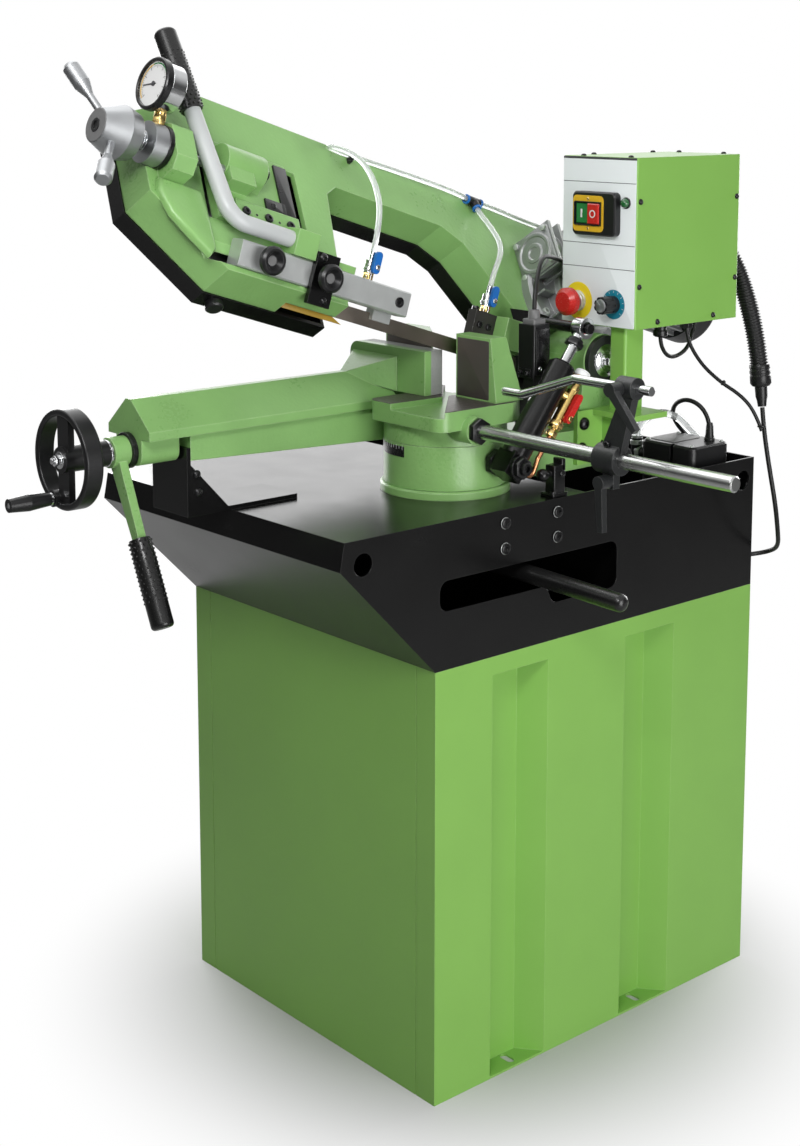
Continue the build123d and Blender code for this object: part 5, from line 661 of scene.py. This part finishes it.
limit_x, limit_y, lid_x = 196, -72, 214.4
dress(black_plastic, "limit_switch")
gland_grey = coated("gland_grey", (0.14, 0.14, 0.14), 0.45, 800, 0.0001, tone=0.1, slot="black_plastic")
piece_of("switch_gland", [
    (slab(24, 24, 8, 3, 1), spot(limit_x, limit_y, 1041)),
    (turned([(0, 0), (8.6, 0), (8.6, 10), (6.5, 14), (0, 14)], 12), spot(limit_x, limit_y, 1048)),
], gland_grey, "turntable")
piece_of("switch_lid", [
    (slab(27, 66, 2.4, 3, 0.7), spot(212, limit_y, 1004), right),
    (slab(21, 40, 0.5, 1, 0.1), spot(lid_x, limit_y, 1010), right),
    (slab(24, 12, 3, 2, 0.7), spot(limit_x, -88, 974), front),
    (cap_screw(3.4, 3), spot(limit_x - 7, -91, 974), front),
    (cap_screw(3.4, 3), spot(limit_x + 7, -91, 974), front),
    (dome_screw(2.6, 1.2), spot(lid_x, -63, 976), right),
], black_oxide, "turntable", "black_plastic")
piece_of("switch_plunger", [
    (turned([(0, 0), (4.4, 0), (4.4, 9), (3, 12), (0, 12.5)]), spot(limit_x, limit_y, 952), down),
    (dome_screw(3.4, 1.6), spot(lid_x, -78, 980), right),
], chrome_plate, "turntable")


# Feed cylinder: a black tube on a bolted foot, a chromed rod with black nuts, and a brass
# valve with a white cap, a red lever and a bent copper pipe.

foot = pivot["cylinder_swivel"]
cylinder_up = Vector((0, 141, 177)).normalized()
cylinder_out = Vector((0, cylinder_up.z, -cylinder_up.y))
copper_top = 0.066
copper_start = -(foot.dot(cylinder_up) + copper_top)
brass_and_copper = coated("brass_and_copper", (0.6, 0.42, 0.15), 0.24, 500, 0.00004, metal=1.0, tone=0.12,
                          soften=0.0006,
                          past=(tuple(-cylinder_up), copper_start, (0.6, 0.27, 0.13), 0.28, 1.0))
dress(brass_and_copper, "feed_valve")
dress(red_plastic, "valve_lever")
dress(chrome_plate, "piston_rod")


def on_cylinder(across, out, along):
    """A place beside the cylinder: to the right, away from its front, and up from the foot pin."""
    return foot + Vector((across, 0, 0)) * mm + cylinder_out * out * mm + cylinder_up * along * mm


piece_of("foot_bolt", [
    (ring(17, 10.2, 6), on_cylinder(16.2, 0, 0), right),
    (hexagon(27, 9, 1.2), on_cylinder(20, 0, 0), right),
    (cap_screw(9.5, 9), on_cylinder(27, 0, 0), right),
    (hexagon(34, 11, 1.4), on_cylinder(-30, 0, 0), right),
], black_oxide, "turntable")
piece_of("rod_nuts", [
    (hexagon(24, 8, 1), on_cylinder(0, 0, 195.5), cylinder_up),
    (ring(10.6, 8.1, 4), on_cylinder(0, 0, 203.5), cylinder_up),
], black_oxide, "piston")
piece_of("valve_fittings", [
    (hexagon(15, 9), on_cylinder(14, 28, 66), cylinder_up),
    (hexagon(19, 7), on_cylinder(14, 28, 82), cylinder_up),
    (hexagon(13, 9), on_cylinder(14, 28, 138), cylinder_up),
    (hexagon(13, 10), on_cylinder(10, 24, 2), -cylinder_out),
], turned_brass, "cylinder")
cap = turned([(0, 0), (10.6, 0), (11.2, 1), (11.2, 8), (10, 9.6), (0, 9.6)])
piece_of("valve_cap", [(cap, on_cylinder(14, 28, 163.4), cylinder_up)], mark_white, "cylinder")
piece_of("valve_lever_screw", [(cap_screw(4, 3), on_cylinder(33, 28, 98), right)], turned_brass, "valve")


# Bow: a deep casting inclined 37 degrees, with the two wheels behind it under a black
# sheet cover. It is drawn level and then raised about its hinge; places on it are given
# by length along the beam, height across the wheel plane and depth from the blade.

bow_lift = math.radians(17.7)
wheel_tilt = math.radians(37)
blade_x, blade_z = 120, 946
hinge_y, hinge_z = 51, 980


def raised(x, y, z):
    """A place on the level bow, in millimetres, as a point of the raised bow in the frame."""
    along, above = y - hinge_y, z - hinge_z
    return spot(x, hinge_y + along * math.cos(bow_lift) + above * math.sin(bow_lift),
                hinge_z - along * math.sin(bow_lift) + above * math.cos(bow_lift))


def bow_x(height, depth):
    """How far to the right a place in the tilted plane of the wheels lies."""
    return blade_x - height * math.sin(wheel_tilt) + depth * math.cos(wheel_tilt)


def bow_spot(y, height, depth):
    """A place in the tilted plane of the wheels."""
    z = blade_z + height * math.cos(wheel_tilt) + depth * math.sin(wheel_tilt)
    return raised(bow_x(height, depth), y, z)


def drawn(outline, height, edge):
    """A plate of any outline, drawn on its foot, with rounded upper edges."""
    shape = bmesh.new()
    foot_face = shape.faces.new([shape.verts.new((x, y, 0)) for x, y in outline])
    grown = bmesh.ops.extrude_face_region(shape, geom=[foot_face])
    top = [corner for corner in grown["geom"] if isinstance(corner, bmesh.types.BMVert)]
    bmesh.ops.translate(shape, verts=top, vec=(0, 0, height))
    soften_edges(shape, [e for e in shape.edges if min(v.co.z for v in e.verts) > height * 0.9], edge, 3)
    return shape


def disc(radius, height, steps):
    """A plain turned disc."""
    return turned([(0, 0), (radius, 0), (radius, height), (0, height)], steps)


bow_back = (raised(0, 1, 0) - raised(0, 0, 0)).normalized()
bow_up = (raised(0, 0, 1) - raised(0, 0, 0)).normalized()
face_out = (bow_spot(0, 0, 1) - bow_spot(0, 0, 0)).normalized()
face_up = (bow_spot(0, 1, 0) - bow_spot(0, 0, 0)).normalized()
boss_radius, boss_rise = 25, 4
boss = [(-34, -1), (-29, 0.6), (-26, 3.6)]
for degree in range(170, 5, -10):
    angle = math.radians(degree)
    boss.append((boss_radius * math.cos(angle), boss_rise + boss_radius * math.sin(angle)))
boss += [(26, 3.6), (29, 0.6), (34, -1)]
piece_of("slide_boss", [(drawn(boss, 65, 1.5), bow_spot(-578, 148, 38), bow_back, face_up)],
         green_casting, "tension_slide")
plug = turned([(0, 0), (20.5, 0), (20.5, 3), (18.5, 4.5), (9, 4.5), (8, 3.4), (0, 3.4)], 36)
piece_of("slide_plug", [
    (plug, bow_spot(-513, 148, 43), bow_back),
    (cap_screw(8, 9), bow_spot(-509.6, 148, 47), bow_back),
], black_oxide, "tension_slide")
ridge = [(-48, 51), (-52, 32), (-38, 0), (-12, -26), (14, -48), (24, -36), (22, 6), (18, 51)]
piece_of("casting_ridge", [(drawn(ridge, 11, 6), bow_spot(-630, 40, 31), face_out, bow_back)],
         green_casting, "bow")
piece_of("slide_plate", [
    (slab(22, 84, 3, 1, 0.4), bow_spot(-467, 137, 38), face_out, bow_back),
    (slab(34, 20, 3, 1, 0.4), bow_spot(-489, 105, 38), face_out, bow_back),
], black_oxide, "tension_slide")
piece_of("slide_screws", [(cap_screw(6.2, 3.5), bow_spot(y, 77, 44), face_out) for y in (-548, -511, -474)]
         + [(disc(1.9, 0.3, 12), bow_spot(y, 77, 44), face_out) for y in (-530, -492)]
         + [(dome_screw(4.5, 2.2), bow_spot(-493, 106, 41), face_out)],
         black_oxide, "tension_slide")
piece_of("casting_plugs", [(disc(2.2, 0.3, 12), bow_spot(y, 40, 32), face_out) for y in (-455, -437)],
         black_oxide, "bow")
knob = turned([(0, 0), (5, 0), (5, 6), (11, 8), (12, 11), (12, 18), (10, 20), (0, 20)])
piece_of("cover_knob", [(knob, bow_spot(-560, -8, -34), -face_up)], black_plastic, "bow")
wheel_iron = machined("wheel_iron", (0.3, 0.3, 0.3), 0.45, (30, 30, 30))
dress(wheel_iron, "drive_wheel", "idler_wheel")


# Hinge: a dark pin through the pedestal. A bright bolt with a dished washer closes its
# right end.

dress(dark_casting, "hinge_pin")
washer = turned([(0, 0), (24, 0), (24, 1.5), (18, 3), (16, 5), (0, 5)], 36)
piece_of("hinge_bolt", [
    (washer, spot(219.5, hinge_y, hinge_z), right),
    (disc(13, 2, 36), spot(224, hinge_y, hinge_z), right),
    (hexagon(17, 8), spot(225.5, hinge_y, hinge_z), right),
], chrome_plate, "bow")


# Blade tension: a star wheel of satin aluminium on the screw, disc springs, a turned
# collar with a black back ring, and a gauge on a brass fitting.

tension_height, tension_depth = 131, 48


def tension_spot(y):
    """A place on the tension screw."""
    return bow_spot(y, tension_height, tension_depth)


dress(satin_aluminium, "tension_wheel", "tension_collar")
face_ring = turned([(9, 0), (9, 1), (20.6, 1), (21.4, 0.4), (21.4, 0), (9, 0)], 40)
piece_of("wheel_face", [(face_ring, tension_spot(-771), -bow_back)],
         gland_grey, "tension", "satin_aluminium")
socket = turned([(0, 0.2), (5.4, 0.2), (5.8, 1.6), (8.6, 1.6), (9.4, 0.8), (9.4, 0), (0, 0)], 24, 6)
piece_of("wheel_socket", [(socket, tension_spot(-771), -bow_back)], black_oxide, "tension")
spring_pitch = 3.6
spring = [(6.2, 0)]
for step in range(5):
    for radius, rise in ((13.5, 0.4), (13.5, 1.2), (9, 2.2), (9, 2.8)):
        spring.append((radius, step * spring_pitch + rise))
spring += [(6.2, 18.4), (6.2, 0)]
piece_of("disc_springs", [(turned(spring, 36), tension_spot(-720.2), bow_back)], chrome_plate, "tension")
piece_of("collar_ring", [(ring(28.2, 26.5, 7), tension_spot(-680.4), bow_back)], black_oxide, "bow")

gauge_x, gauge_z = bow_x(tension_height, tension_depth), 1151.5
dial_y, stem_y = -706.7, -687
dial_middle = raised(gauge_x, dial_y, gauge_z)
dress(chrome_plate, "pressure_gauge")
bezel = turned([
    (29, 0), (29, 3.6), (30, 4.4), (32.6, 4.2), (34, 2.6), (34, -5), (33.1, -5), (33.1, 0), (29, 0)], 48)
piece_of("gauge_bezel", [(bezel, raised(gauge_x, dial_y + 0.3, gauge_z), -bow_back)],
         black_oxide, "bow", "gauge_steel")
dial_white = coated("dial_white", (0.8, 0.8, 0.79), 0.4, 500, 0.00002, tone=0.02, coat=1.0,
                    slot="chrome_plate")
piece_of("gauge_dial", [(disc(28.9, 0.4, 48), dial_middle, -bow_back)], dial_white, "bow")


def on_dial(shape, degree, reach, lift):
    """A shape on the gauge's face, clockwise from the top, that points outwards."""
    turn = math.radians(degree)
    side = Vector((math.sin(turn), 0, 0)) + bow_up * math.cos(turn)
    place = dial_middle + side * reach * mm - bow_back * lift * mm
    return shape, place, -bow_back, side.cross(-bow_back)


ticks = []
for step in range(41):
    degree = -135 + step * 6.75
    if step % 5:
        ticks.append(on_dial(slab(0.45, 2.4, 0.15, 0, 0), degree, 23.4, 0.4))
    else:
        ticks.append(on_dial(slab(0.8, 4.4, 0.15, 0, 0), degree, 22.4, 0.4))
ticks.append(on_dial(slab(1.5, 27, 0.5, 0.6, 0), -96, 8, 0.9))
hub = turned([(0, 0), (3.2, 0), (3.2, 1.2), (0, 1.6)])
ticks.append((hub, dial_middle - bow_back * 0.6 * mm, -bow_back))
piece_of("gauge_marks", ticks, ink, "bow")


def arc(inner, outer, first, last):
    """A flat ring segment on the dial, clockwise from the top."""
    shape = bmesh.new()
    sine, cosine = math.sin(math.radians(first)), math.cos(math.radians(first))
    ends = [shape.verts.new((sine * reach, cosine * reach, 0)) for reach in (inner, outer)]
    edge = shape.edges.new(ends)
    bmesh.ops.spin(shape, geom=ends + [edge], cent=(0, 0, 0), axis=(0, 0, -1),
                   angle=math.radians(last - first), steps=24)
    bmesh.ops.solidify(shape, geom=shape.faces[:], thickness=0.15)
    return shape


for arc_name, finish, first, last in (
    ("gauge_green", green_plastic, -20, 60),
    ("gauge_amber", yellow_plastic, -135, -20),
    ("gauge_red", red_plastic, 60, 135),
):
    piece_of(arc_name, [(arc(25.4, 27, first, last), dial_middle - bow_back * 0.0006, -bow_back)],
             finish, "bow", "red_plastic")
piece_of("gauge_fitting", [
    (hexagon(15.5, 12), raised(gauge_x, stem_y, 1105.5), bow_up),
    (turned([(0, 0), (7.6, 0), (7.6, 6), (6, 8), (0, 8)]), raised(gauge_x, stem_y, 1116.5), bow_up),
], turned_brass, "bow")


# Bow handle: a bent tube, painted light grey, clamped under the casting's lug, with the
# same pipped rubber grip as the vise lever.

handle_grey = coated("handle_grey", (0.48, 0.5, 0.5), 0.32, 300, 0.0001, tone=0.04)
dress(handle_grey, "bow_handle")
handle_top = bow_spot(-646, 247, 74)
handle_axis = (handle_top - bow_spot(-594, 38, 62)).normalized()
grip_below_top = 0.059
piece_of("handle_pips", pips(handle_top - handle_axis * grip_below_top, handle_axis), grip_rubber, "bow")


# Blade guide: a plated bar in the casting's seat under a black clamp plate, with round
# black knobs, two socket screws at its end, a mustard guard and the toothed blade.

bar_z = 977
dress(zinc_plate, "guide_bar")
dress(black_plastic, "guide_bar_knob", "guide_clamp_knob")
dress(blade_steel, "saw_blade")
piece_of("plate_screws", [
    (dome_screw(6.5, 4.5), raised(163.5, -452, 1001), right),
    (dome_screw(5, 3.5), raised(163.5, -436, 948), right),
], black_oxide, "bow")
piece_of("bar_screws", [
    (cap_screw(7, 2.2), raised(156, -303, bar_z), right),
    (cap_screw(6, 4), raised(144, -285, bar_z + 4), bow_back),
    (cap_screw(4, 3), raised(144, -285, bar_z - 10), bow_back),
], black_oxide, "guide")
knobs = (("knob_plugs", 170.5, -536, "bar_knob"), ("clamp_plugs", 178, -445, "clamp_knob"))
for plug_name, x, y, body in knobs:
    plug = turned([(0, 0), (7.2, 0), (6.4, 0.9), (0, 1.2)])
    piece_of(plug_name, [(plug, raised(x, y, bar_z), right)], gland_grey, body)
guard_yellow = coated("guard_yellow", (0.42, 0.26, 0.025), 0.4, 400, 0.0001, tone=0.08, soften=0.0005,
                      slot="brass")
guard = slab(110, 9, 1.2, 0, 0.2)
bmesh.ops.translate(guard, verts=[v for v in guard.verts if v.co.x > 50 and v.co.y > 0], vec=(-22, 0, 0))
piece_of("blade_guard", [(guard, raised(112, -412, 934), right, bow_back)], guard_yellow, "bow")

first_tooth, tooth_pitch, teeth_z = -320, 4, 937
tooth_size = Matrix.Diagonal((3.6, 0.9, 2.4, 1))
teeth = bmesh.new()
for step in range(46):
    middle = first_tooth + step * tooth_pitch
    placed = Matrix.Translation((middle, 0, teeth_z)) @ tooth_size
    tooth = bmesh.ops.create_cube(teeth, size=1, matrix=placed)
    for corner in tooth["verts"]:
        if corner.co.z < teeth_z:
            corner.co.x = middle + 1.6 + (0.15 if corner.co.x > middle else -0.15)
            corner.co.y += 0.2 * (step % 3 - 1)
piece_of("blade_teeth", [(teeth, raised(blade_x, 0, 0), bow_up, bow_back)], blade_steel, "bow")

tap_start = bow_up.dot(raised(blade_x, -113, 1004.6))
guide_steel = coated("guide_steel", (0.05, 0.047, 0.044), 0.4, 500, 0.0001, metal=0.6, tone=0.2,
                     edge=(0.2, 0.2, 0.2), soften=0.0008,
                     past=(tuple(bow_up), tap_start, (0.7, 0.71, 0.72), 0.18, 1.0))
dress(guide_steel, "rear_guide")
piece_of("guide_screws", [
    (hexagon(10, 6), raised(116, -126, 1004), bow_up),
    (cap_screw(5, 3), raised(127.6, -122, 985), right),
    (cap_screw(5, 3), raised(127.6, -104, 985), right),
], black_oxide, "bow")


# Coolant taps: small chromed ball taps with brass feet and blue levers. One stands on the
# guide bar, the other on the rear guide.

blue_plastic = coated("blue_plastic", (0.01, 0.13, 0.45), 0.3, 800, 0.00006, tone=0.08, soften=0.0006)
dress(chrome_plate, "front_tap")
dress(blue_plastic, "front_tap_lever", "rear_tap_lever")
taps = (("front", "guide", 144, -357, 994), ("rear", "bow", 122, -113, 1004))
for end, body, x, y, z in taps:
    piece_of(f"{end}_tap_foot", [(hexagon(13.4, 9), raised(x, y, z + 0.2), bow_up)], turned_brass, body)
for end, body, x, y, z in taps:
    piece_of(f"tap_nuts_{end}", [
        (hexagon(7, 3), raised(x + 14.5, y, z + 18), right),
        (ring(9.2, 7.9, 4), raised(x, y, z + 12), bow_up),
    ], chrome_plate, body)


# Coolant pump: a black moulded motor block over the tank, with a plain plate and four
# bright screws on top, and a nickel elbow for the hose.

dress(black_plastic, "coolant_pump")
piece_of("pump_plate", [(slab(46, 62, 0.8, 2, 0.2), spot(186, 248, 836))],
         gland_grey, "base", "gauge_steel")
elbow = turned([(0, 0), (10.4, 0), (10.4, 6), (8, 8), (8, 14), (0, 14)])
piece_of("pump_screws", [(dome_screw(4, 2), spot(x, y, 836)) for x in (161, 247) for y in (214, 284)]
         + [(elbow, spot(130, 223, 822)), (hexagon(20, 8), spot(141, 223, 810), (-1, 0, 0))],
         zinc_plate, "base")


# Gearbox and motor: cast aluminium with a grey rough skin. A flange with eight screws, ribs
# from it to the round case, a lid with its own screws and a bolted cover on the worm's end.
# The motor's fan cover is black.

shaft_y, shaft_height = 88, 102
worm_height, worm_depth = 164, 68
# The light edge colour is partly bare worn metal and partly a painted highlight.
cast_skin = {"colour": (0.33, 0.335, 0.34), "rough": 0.42, "grain": 170, "depth": 0.0006, "metal": 0.75,
             "tone": 0.22, "edge": (0.7, 0.7, 0.7), "soften": 0.0015}
cast_aluminium = coated("cast_aluminium", **cast_skin, slot="satin_aluminium")
fan_start = bow_back.dot(bow_spot(328.3, worm_height, 72))
fan_black = (0.012, 0.012, 0.013)
motor_case = coated("motor_case", **cast_skin, past=(tuple(bow_back), fan_start, fan_black, 0.4, 0.0))
dress(cast_aluminium, "gearbox")
dress(motor_case, "motor")


def gear_spot(reach, degree, depth):
    """A place on the gearbox, by radius and angle about its shaft and depth from the blade."""
    turn = math.radians(degree)
    return bow_spot(shaft_y + reach * math.cos(turn), shaft_height + reach * math.sin(turn), depth)


piece_of("flange_screws", [
    (cap_screw(6, 5), gear_spot(81, step * 45 + 22, 50), face_out) for step in range(8)
], zinc_plate, "bow")
case_lid = turned([(0, 0), (46, 0), (46, 3), (44, 4), (30, 4), (28, 2.4), (12, 2.4), (11, 6), (0, 6)], 48)
piece_of("case_lid", [(case_lid, gear_spot(0, 0, 72), face_out)], cast_aluminium, "bow")
worm_lid = turned([
    (0, 3), (9, 3), (10, 5), (15, 5), (16, 3), (25, 3), (27, 5), (31, 5), (32, 4), (32, 0), (0, 0)], 48)
piece_of("worm_cover", [
    (worm_lid, bow_spot(8, worm_height, worm_depth - 1), -bow_back),
    (slab(70, 70, 2.4, 8, 0.8), bow_spot(8, worm_height, worm_depth), -bow_back, face_up),
], cast_aluminium, "bow")
piece_of("worm_bolts", [
    (hexagon(9, 5), bow_spot(6, worm_height + up, worm_depth + out), -bow_back)
    for up in (-28, 28) for out in (-28, 28)
], zinc_plate, "bow")
piece_of("lid_bolts", [
    (hexagon(8, 4), gear_spot(38, step * 60 + 10, 75.5), face_out) for step in range(6)
], zinc_plate, "bow")
ribs = []
for step in range(12):
    place = gear_spot(70, step * 30, 50)
    ribs.append((slab(22, 4, 14, 1, 0.6), place, face_out, place - gear_spot(0, 0, 50)))
piece_of("case_ribs", ribs, cast_aluminium, "bow")


# Cables: black rubber leads from the control box. They run through a ribbed conduit with
# a cuff and sleeve, and go on behind the tray; a thin one joins them from under the box.
# The limit switch has its own short cable.

cable_rubber = coated("cable_rubber", (0.006, 0.006, 0.006), 0.42, 700, 0.0001, tone=0.2, shine=0.4)


def route(*places):
    """The points of a cord's route, given on the drawing."""
    return [spot(*place) for place in places]


def route_line(name, points, thickness=0.0):
    """A smooth line that its route's points pull into shape."""
    curve = bpy.data.curves.new(name, "CURVE")
    curve.dimensions = "3D"
    curve.resolution_u = 10
    curve.bevel_depth = thickness / 2
    curve.bevel_resolution = 3
    curve.use_fill_caps = True
    spline = curve.splines.new("NURBS")
    spline.points.add(len(points) - 1)
    for knot, place in zip(spline.points, points):
        knot.co = (*place, 1)
    spline.order_u = 3
    spline.use_endpoint_u = True
    return in_scene(name, curve)


def followed(line):
    """The points that a line passes through."""
    return [tuple(corner.co) for corner in bpy.data.meshes.new_from_object(line).vertices]


def declare_cord(piece, finish, stands_for, **facts):
    """Hides the CAD node that a cable's piece stands for, if any."""
    if stands_for:
        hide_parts(stands_for)


def cable(name, points, thickness, length, finish, body, stands_for=None):
    """A cable between two places on one body."""
    piece = route_line(name, points, thickness)
    piece.data.materials.append(finish)
    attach(piece, body)
    declare_cord(piece, finish, stands_for, exit=tuple(points[0]), length=length, diameter=thickness)


def crossing_cable(name, points, thickness, length, finish, span, stands_for):
    """A cable from one body to another, as one mesh fixed in the frame."""
    line = route_line(name + "_line", points)
    path = followed(line)
    line.data.bevel_depth = thickness / 2
    mesh = bpy.data.meshes.new_from_object(line)
    mesh.materials.clear()
    mesh.materials.append(finish)
    mesh.shade_smooth()
    bpy.data.objects.remove(line)
    piece = in_scene(name, mesh)
    tuple(span[0])
    tuple(span[1])
    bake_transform(piece)
    declare_cord(piece, finish, stands_for, exit=path[0], length=length, diameter=thickness, path=path)


conduit_route = route(
    (232, 255, 1140), (232, 285, 1140), (244, 305, 1112), (264, 309, 1066), (284, 307, 1014),
    (298, 305, 960), (302, 304, 930))
conduit_line = route_line("conduit_line", conduit_route)
conduit_path = followed(conduit_line)
rib_pitch = 4.5
rib = turned([(12.2, 0), (12.2, 1.2), (14, 1.9), (14, 3.2), (12.2, 3.9), (12.2, rib_pitch)], 24)
rib.transform(Matrix.Scale(mm, 4))
ribbed = in_scene("ribbed", mesh_of("rib", rib))
repeat = ribbed.modifiers.new("repeat", "ARRAY")
repeat.use_relative_offset = False
repeat.use_constant_offset = True
repeat.constant_offset_displace = (0, 0, rib_pitch * mm)
repeat.count = 56
repeat.use_merge_vertices = True
repeat.merge_threshold = 0.0002
bend = ribbed.modifiers.new("bend", "CURVE")
bend.object = conduit_line
bend.deform_axis = "POS_Z"
bpy.context.view_layer.update()
conduit_mesh = bpy.data.meshes.new_from_object(ribbed.evaluated_get(bpy.context.evaluated_depsgraph_get()))
bpy.data.objects.remove(ribbed)
bpy.data.objects.remove(conduit_line)
conduit_mesh.materials.clear()
conduit_mesh.materials.append(black_plastic)
conduit_mesh.shade_smooth()
conduit = in_scene("conduit", conduit_mesh)
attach(conduit, "turntable")
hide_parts("cable_conduit")
conduit_end = conduit_route[-1]
conduit_down = Vector((4, -1, -30)).normalized()
cuff_sleeve = turned([
    (0, 0), (15.4, 0), (15.8, 1), (15.8, 5), (15, 6), (15, 8), (15.8, 9), (15.8, 13), (15, 14), (15, 16),
    (15.8, 17), (15.8, 28), (13, 32), (10, 33), (0, 33)], 32)
lead_sleeve = turned([(0, 0), (9.5, 0), (9, 16), (7.4, 22), (6.4, 31), (0, 31)], 24)
cuff = piece_of("conduit_cuff", [
    (cuff_sleeve, conduit_end - conduit_down * 0.028, conduit_down),
    (lead_sleeve, conduit_end + conduit_down * 0.004, conduit_down),
    (turned([(0, 0), (17, 0), (17, 4), (14.6, 7), (0, 7)], 32), conduit_route[0], back),
], black_plastic, "turntable")
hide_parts("cable_conduit")
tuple(conduit_path[0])

drop_route = route(
    (307, 303, 894), (311, 302, 865), (322, 302, 812), (336, 303, 752), (325, 326, 703),
    (311, 347, 673.5), (287, 359, 659), (264, 344, 652), (263, 327.5, 654))
crossing_cable("lead_drop", drop_route, 0.007, 0.308, cable_rubber,
               (drop_route[1], drop_route[6]), "box_cables")
loop_route = route(
    (272, 165, 1033), (272, 165, 1009), (277, 192, 969), (283, 231, 938), (293, 264, 917),
    (301, 282, 898), (309, 292, 874), (313, 295, 860))
cable("lead_loop", loop_route, 0.0056, 0.23, cable_rubber, "turntable", "box_cables")
switch_route = route(
    (196, -72, 1056), (196, -72, 1078), (184, -53, 1113), (162, -22, 1131), (144, 16, 1127),
    (144, 52, 1113), (153, 66, 1104))
cable("switch_cable", switch_route, 0.0065, 0.2, cable_rubber, "turntable")
under_route = route(
    (262, 120, 1016), (262, 120, 999), (259, 146, 977), (252, 191, 985), (244, 212, 1007), (246, 220, 1034))
cable("under_cable", under_route, 0.006, 0.15, cable_rubber, "turntable")
piece_of("cable_ties", [
    (ring(6.6, 3.2, 2.6), spot(311.6, 296.5, 868), (0.1, 0, -1)),
    (ring(4.4, 2.4, 2.4), spot(284.4, 236, 936.4), (0.2, 0.6, -0.5)),
], black_plastic, "turntable")


# Pump lines: a clear hose from the nickel elbow and a short black lead from the pump's
# gland. Both go down into the tank behind the pump.

def clear_vinyl(name, colour):
    """Soft clear hose: it lets light through and has a slightly milky skin."""
    made, shader, where = new_finish(name, {"Transmission Weight": 0.65, "IOR": 1.38})
    milky = where.noise(70.0, 3.0)
    milky.between(toned(colour, 0.9), (*colour, 1)).into(shader, "Base Color")
    (0.12 + milky * 0.1).into(shader, "Roughness")
    return made


clear_hose = clear_vinyl("clear_hose", (0.86, 0.88, 0.88))
pump_route = route(
    (130, 223, 832), (130, 223, 849), (145, 243, 872), (166, 271, 868), (172.5, 302, 837), (170, 324.5, 822))
cable("pump_hose", pump_route, 0.012, 0.151, clear_hose, "base", "pump_lines")
lead_route = route(
    (232, 273, 844), (232, 273, 865), (220, 268, 888), (195, 264, 897), (169.5, 264, 887), (157, 272.5, 864),
    (158.5, 299, 834), (158, 324.5, 818))
cable("pump_lead", lead_route, 0.007, 0.194, cable_rubber, "base", "pump_lines")
lead_gland = turned([(0, 0), (8.4, 0), (8.4, 4), (6.4, 6), (5.6, 22), (4.4, 28), (0, 28)], 20)
piece_of("pump_gland", [(lead_gland, spot(232, 273, 836))], black_plastic, "base")


# Coolant hoses: clear vinyl from the taps to a black tee with blue rings on the bow, and
# on along the beam to the rear. A clip holds the front hose on the casting.

hose_thickness, hose_depth, tee_reach = 0.008, 40, 0.0122
front_route = route(
    (144, -322, 1154), (144, -309.5, 1192), (133, -305, 1239), (103, -313.5, 1281), (20, -307, 1292.5),
    (-4, -261, 1280), (-2, -198, 1262), (3, -122, 1239), (2, -45, 1216), (-1, -10, 1202))
crossing_cable("front_hose", front_route, hose_thickness, 0.528, clear_hose,
               (front_route[0], front_route[3]), "coolant_hoses")
rear_route = route(
    (122, -86, 1089), (122, -81, 1106), (121, -60, 1142), (54, -22.5, 1168), (17, -8, 1183), (0, -6, 1199))
cable("rear_hose", rear_route, hose_thickness, 0.201, clear_hose, "bow", "coolant_hoses")
main_route = [
    bow_spot(y, height, hose_depth) for y, height in ((-65, 254), (-20, 255), (30, 252), (86, 253))]
cable("main_hose", main_route, hose_thickness, 0.151, clear_hose, "bow", "coolant_hoses")
tee = bow_spot(-70, 254, hose_depth)
tee_ways = (bow_back, -bow_back, (rear_route[-2] - tee).normalized())
tee_ends = [(turned([(0, 0), (6.8, 0), (6.8, 11), (5.4, 12), (0, 12)], 24), tee, way) for way in tee_ways]
hose_tee = piece_of("hose_tee", tee_ends, black_plastic, "bow")
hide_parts("coolant_hoses")
piece_of("tee_rings", [(ring(7.4, 4.6, 3.4), tee + way * tee_reach, way) for way in tee_ways],
         blue_plastic, "bow")
piece_of("hose_clip", [
    (ring(6.2, 4.1, 5), bow_spot(-320, 250.6, hose_depth), bow_back),
    (slab(8, 5, 8, 1, 0.4), bow_spot(-317.5, 247, 31.5), face_out, face_up),
], black_plastic, "bow")
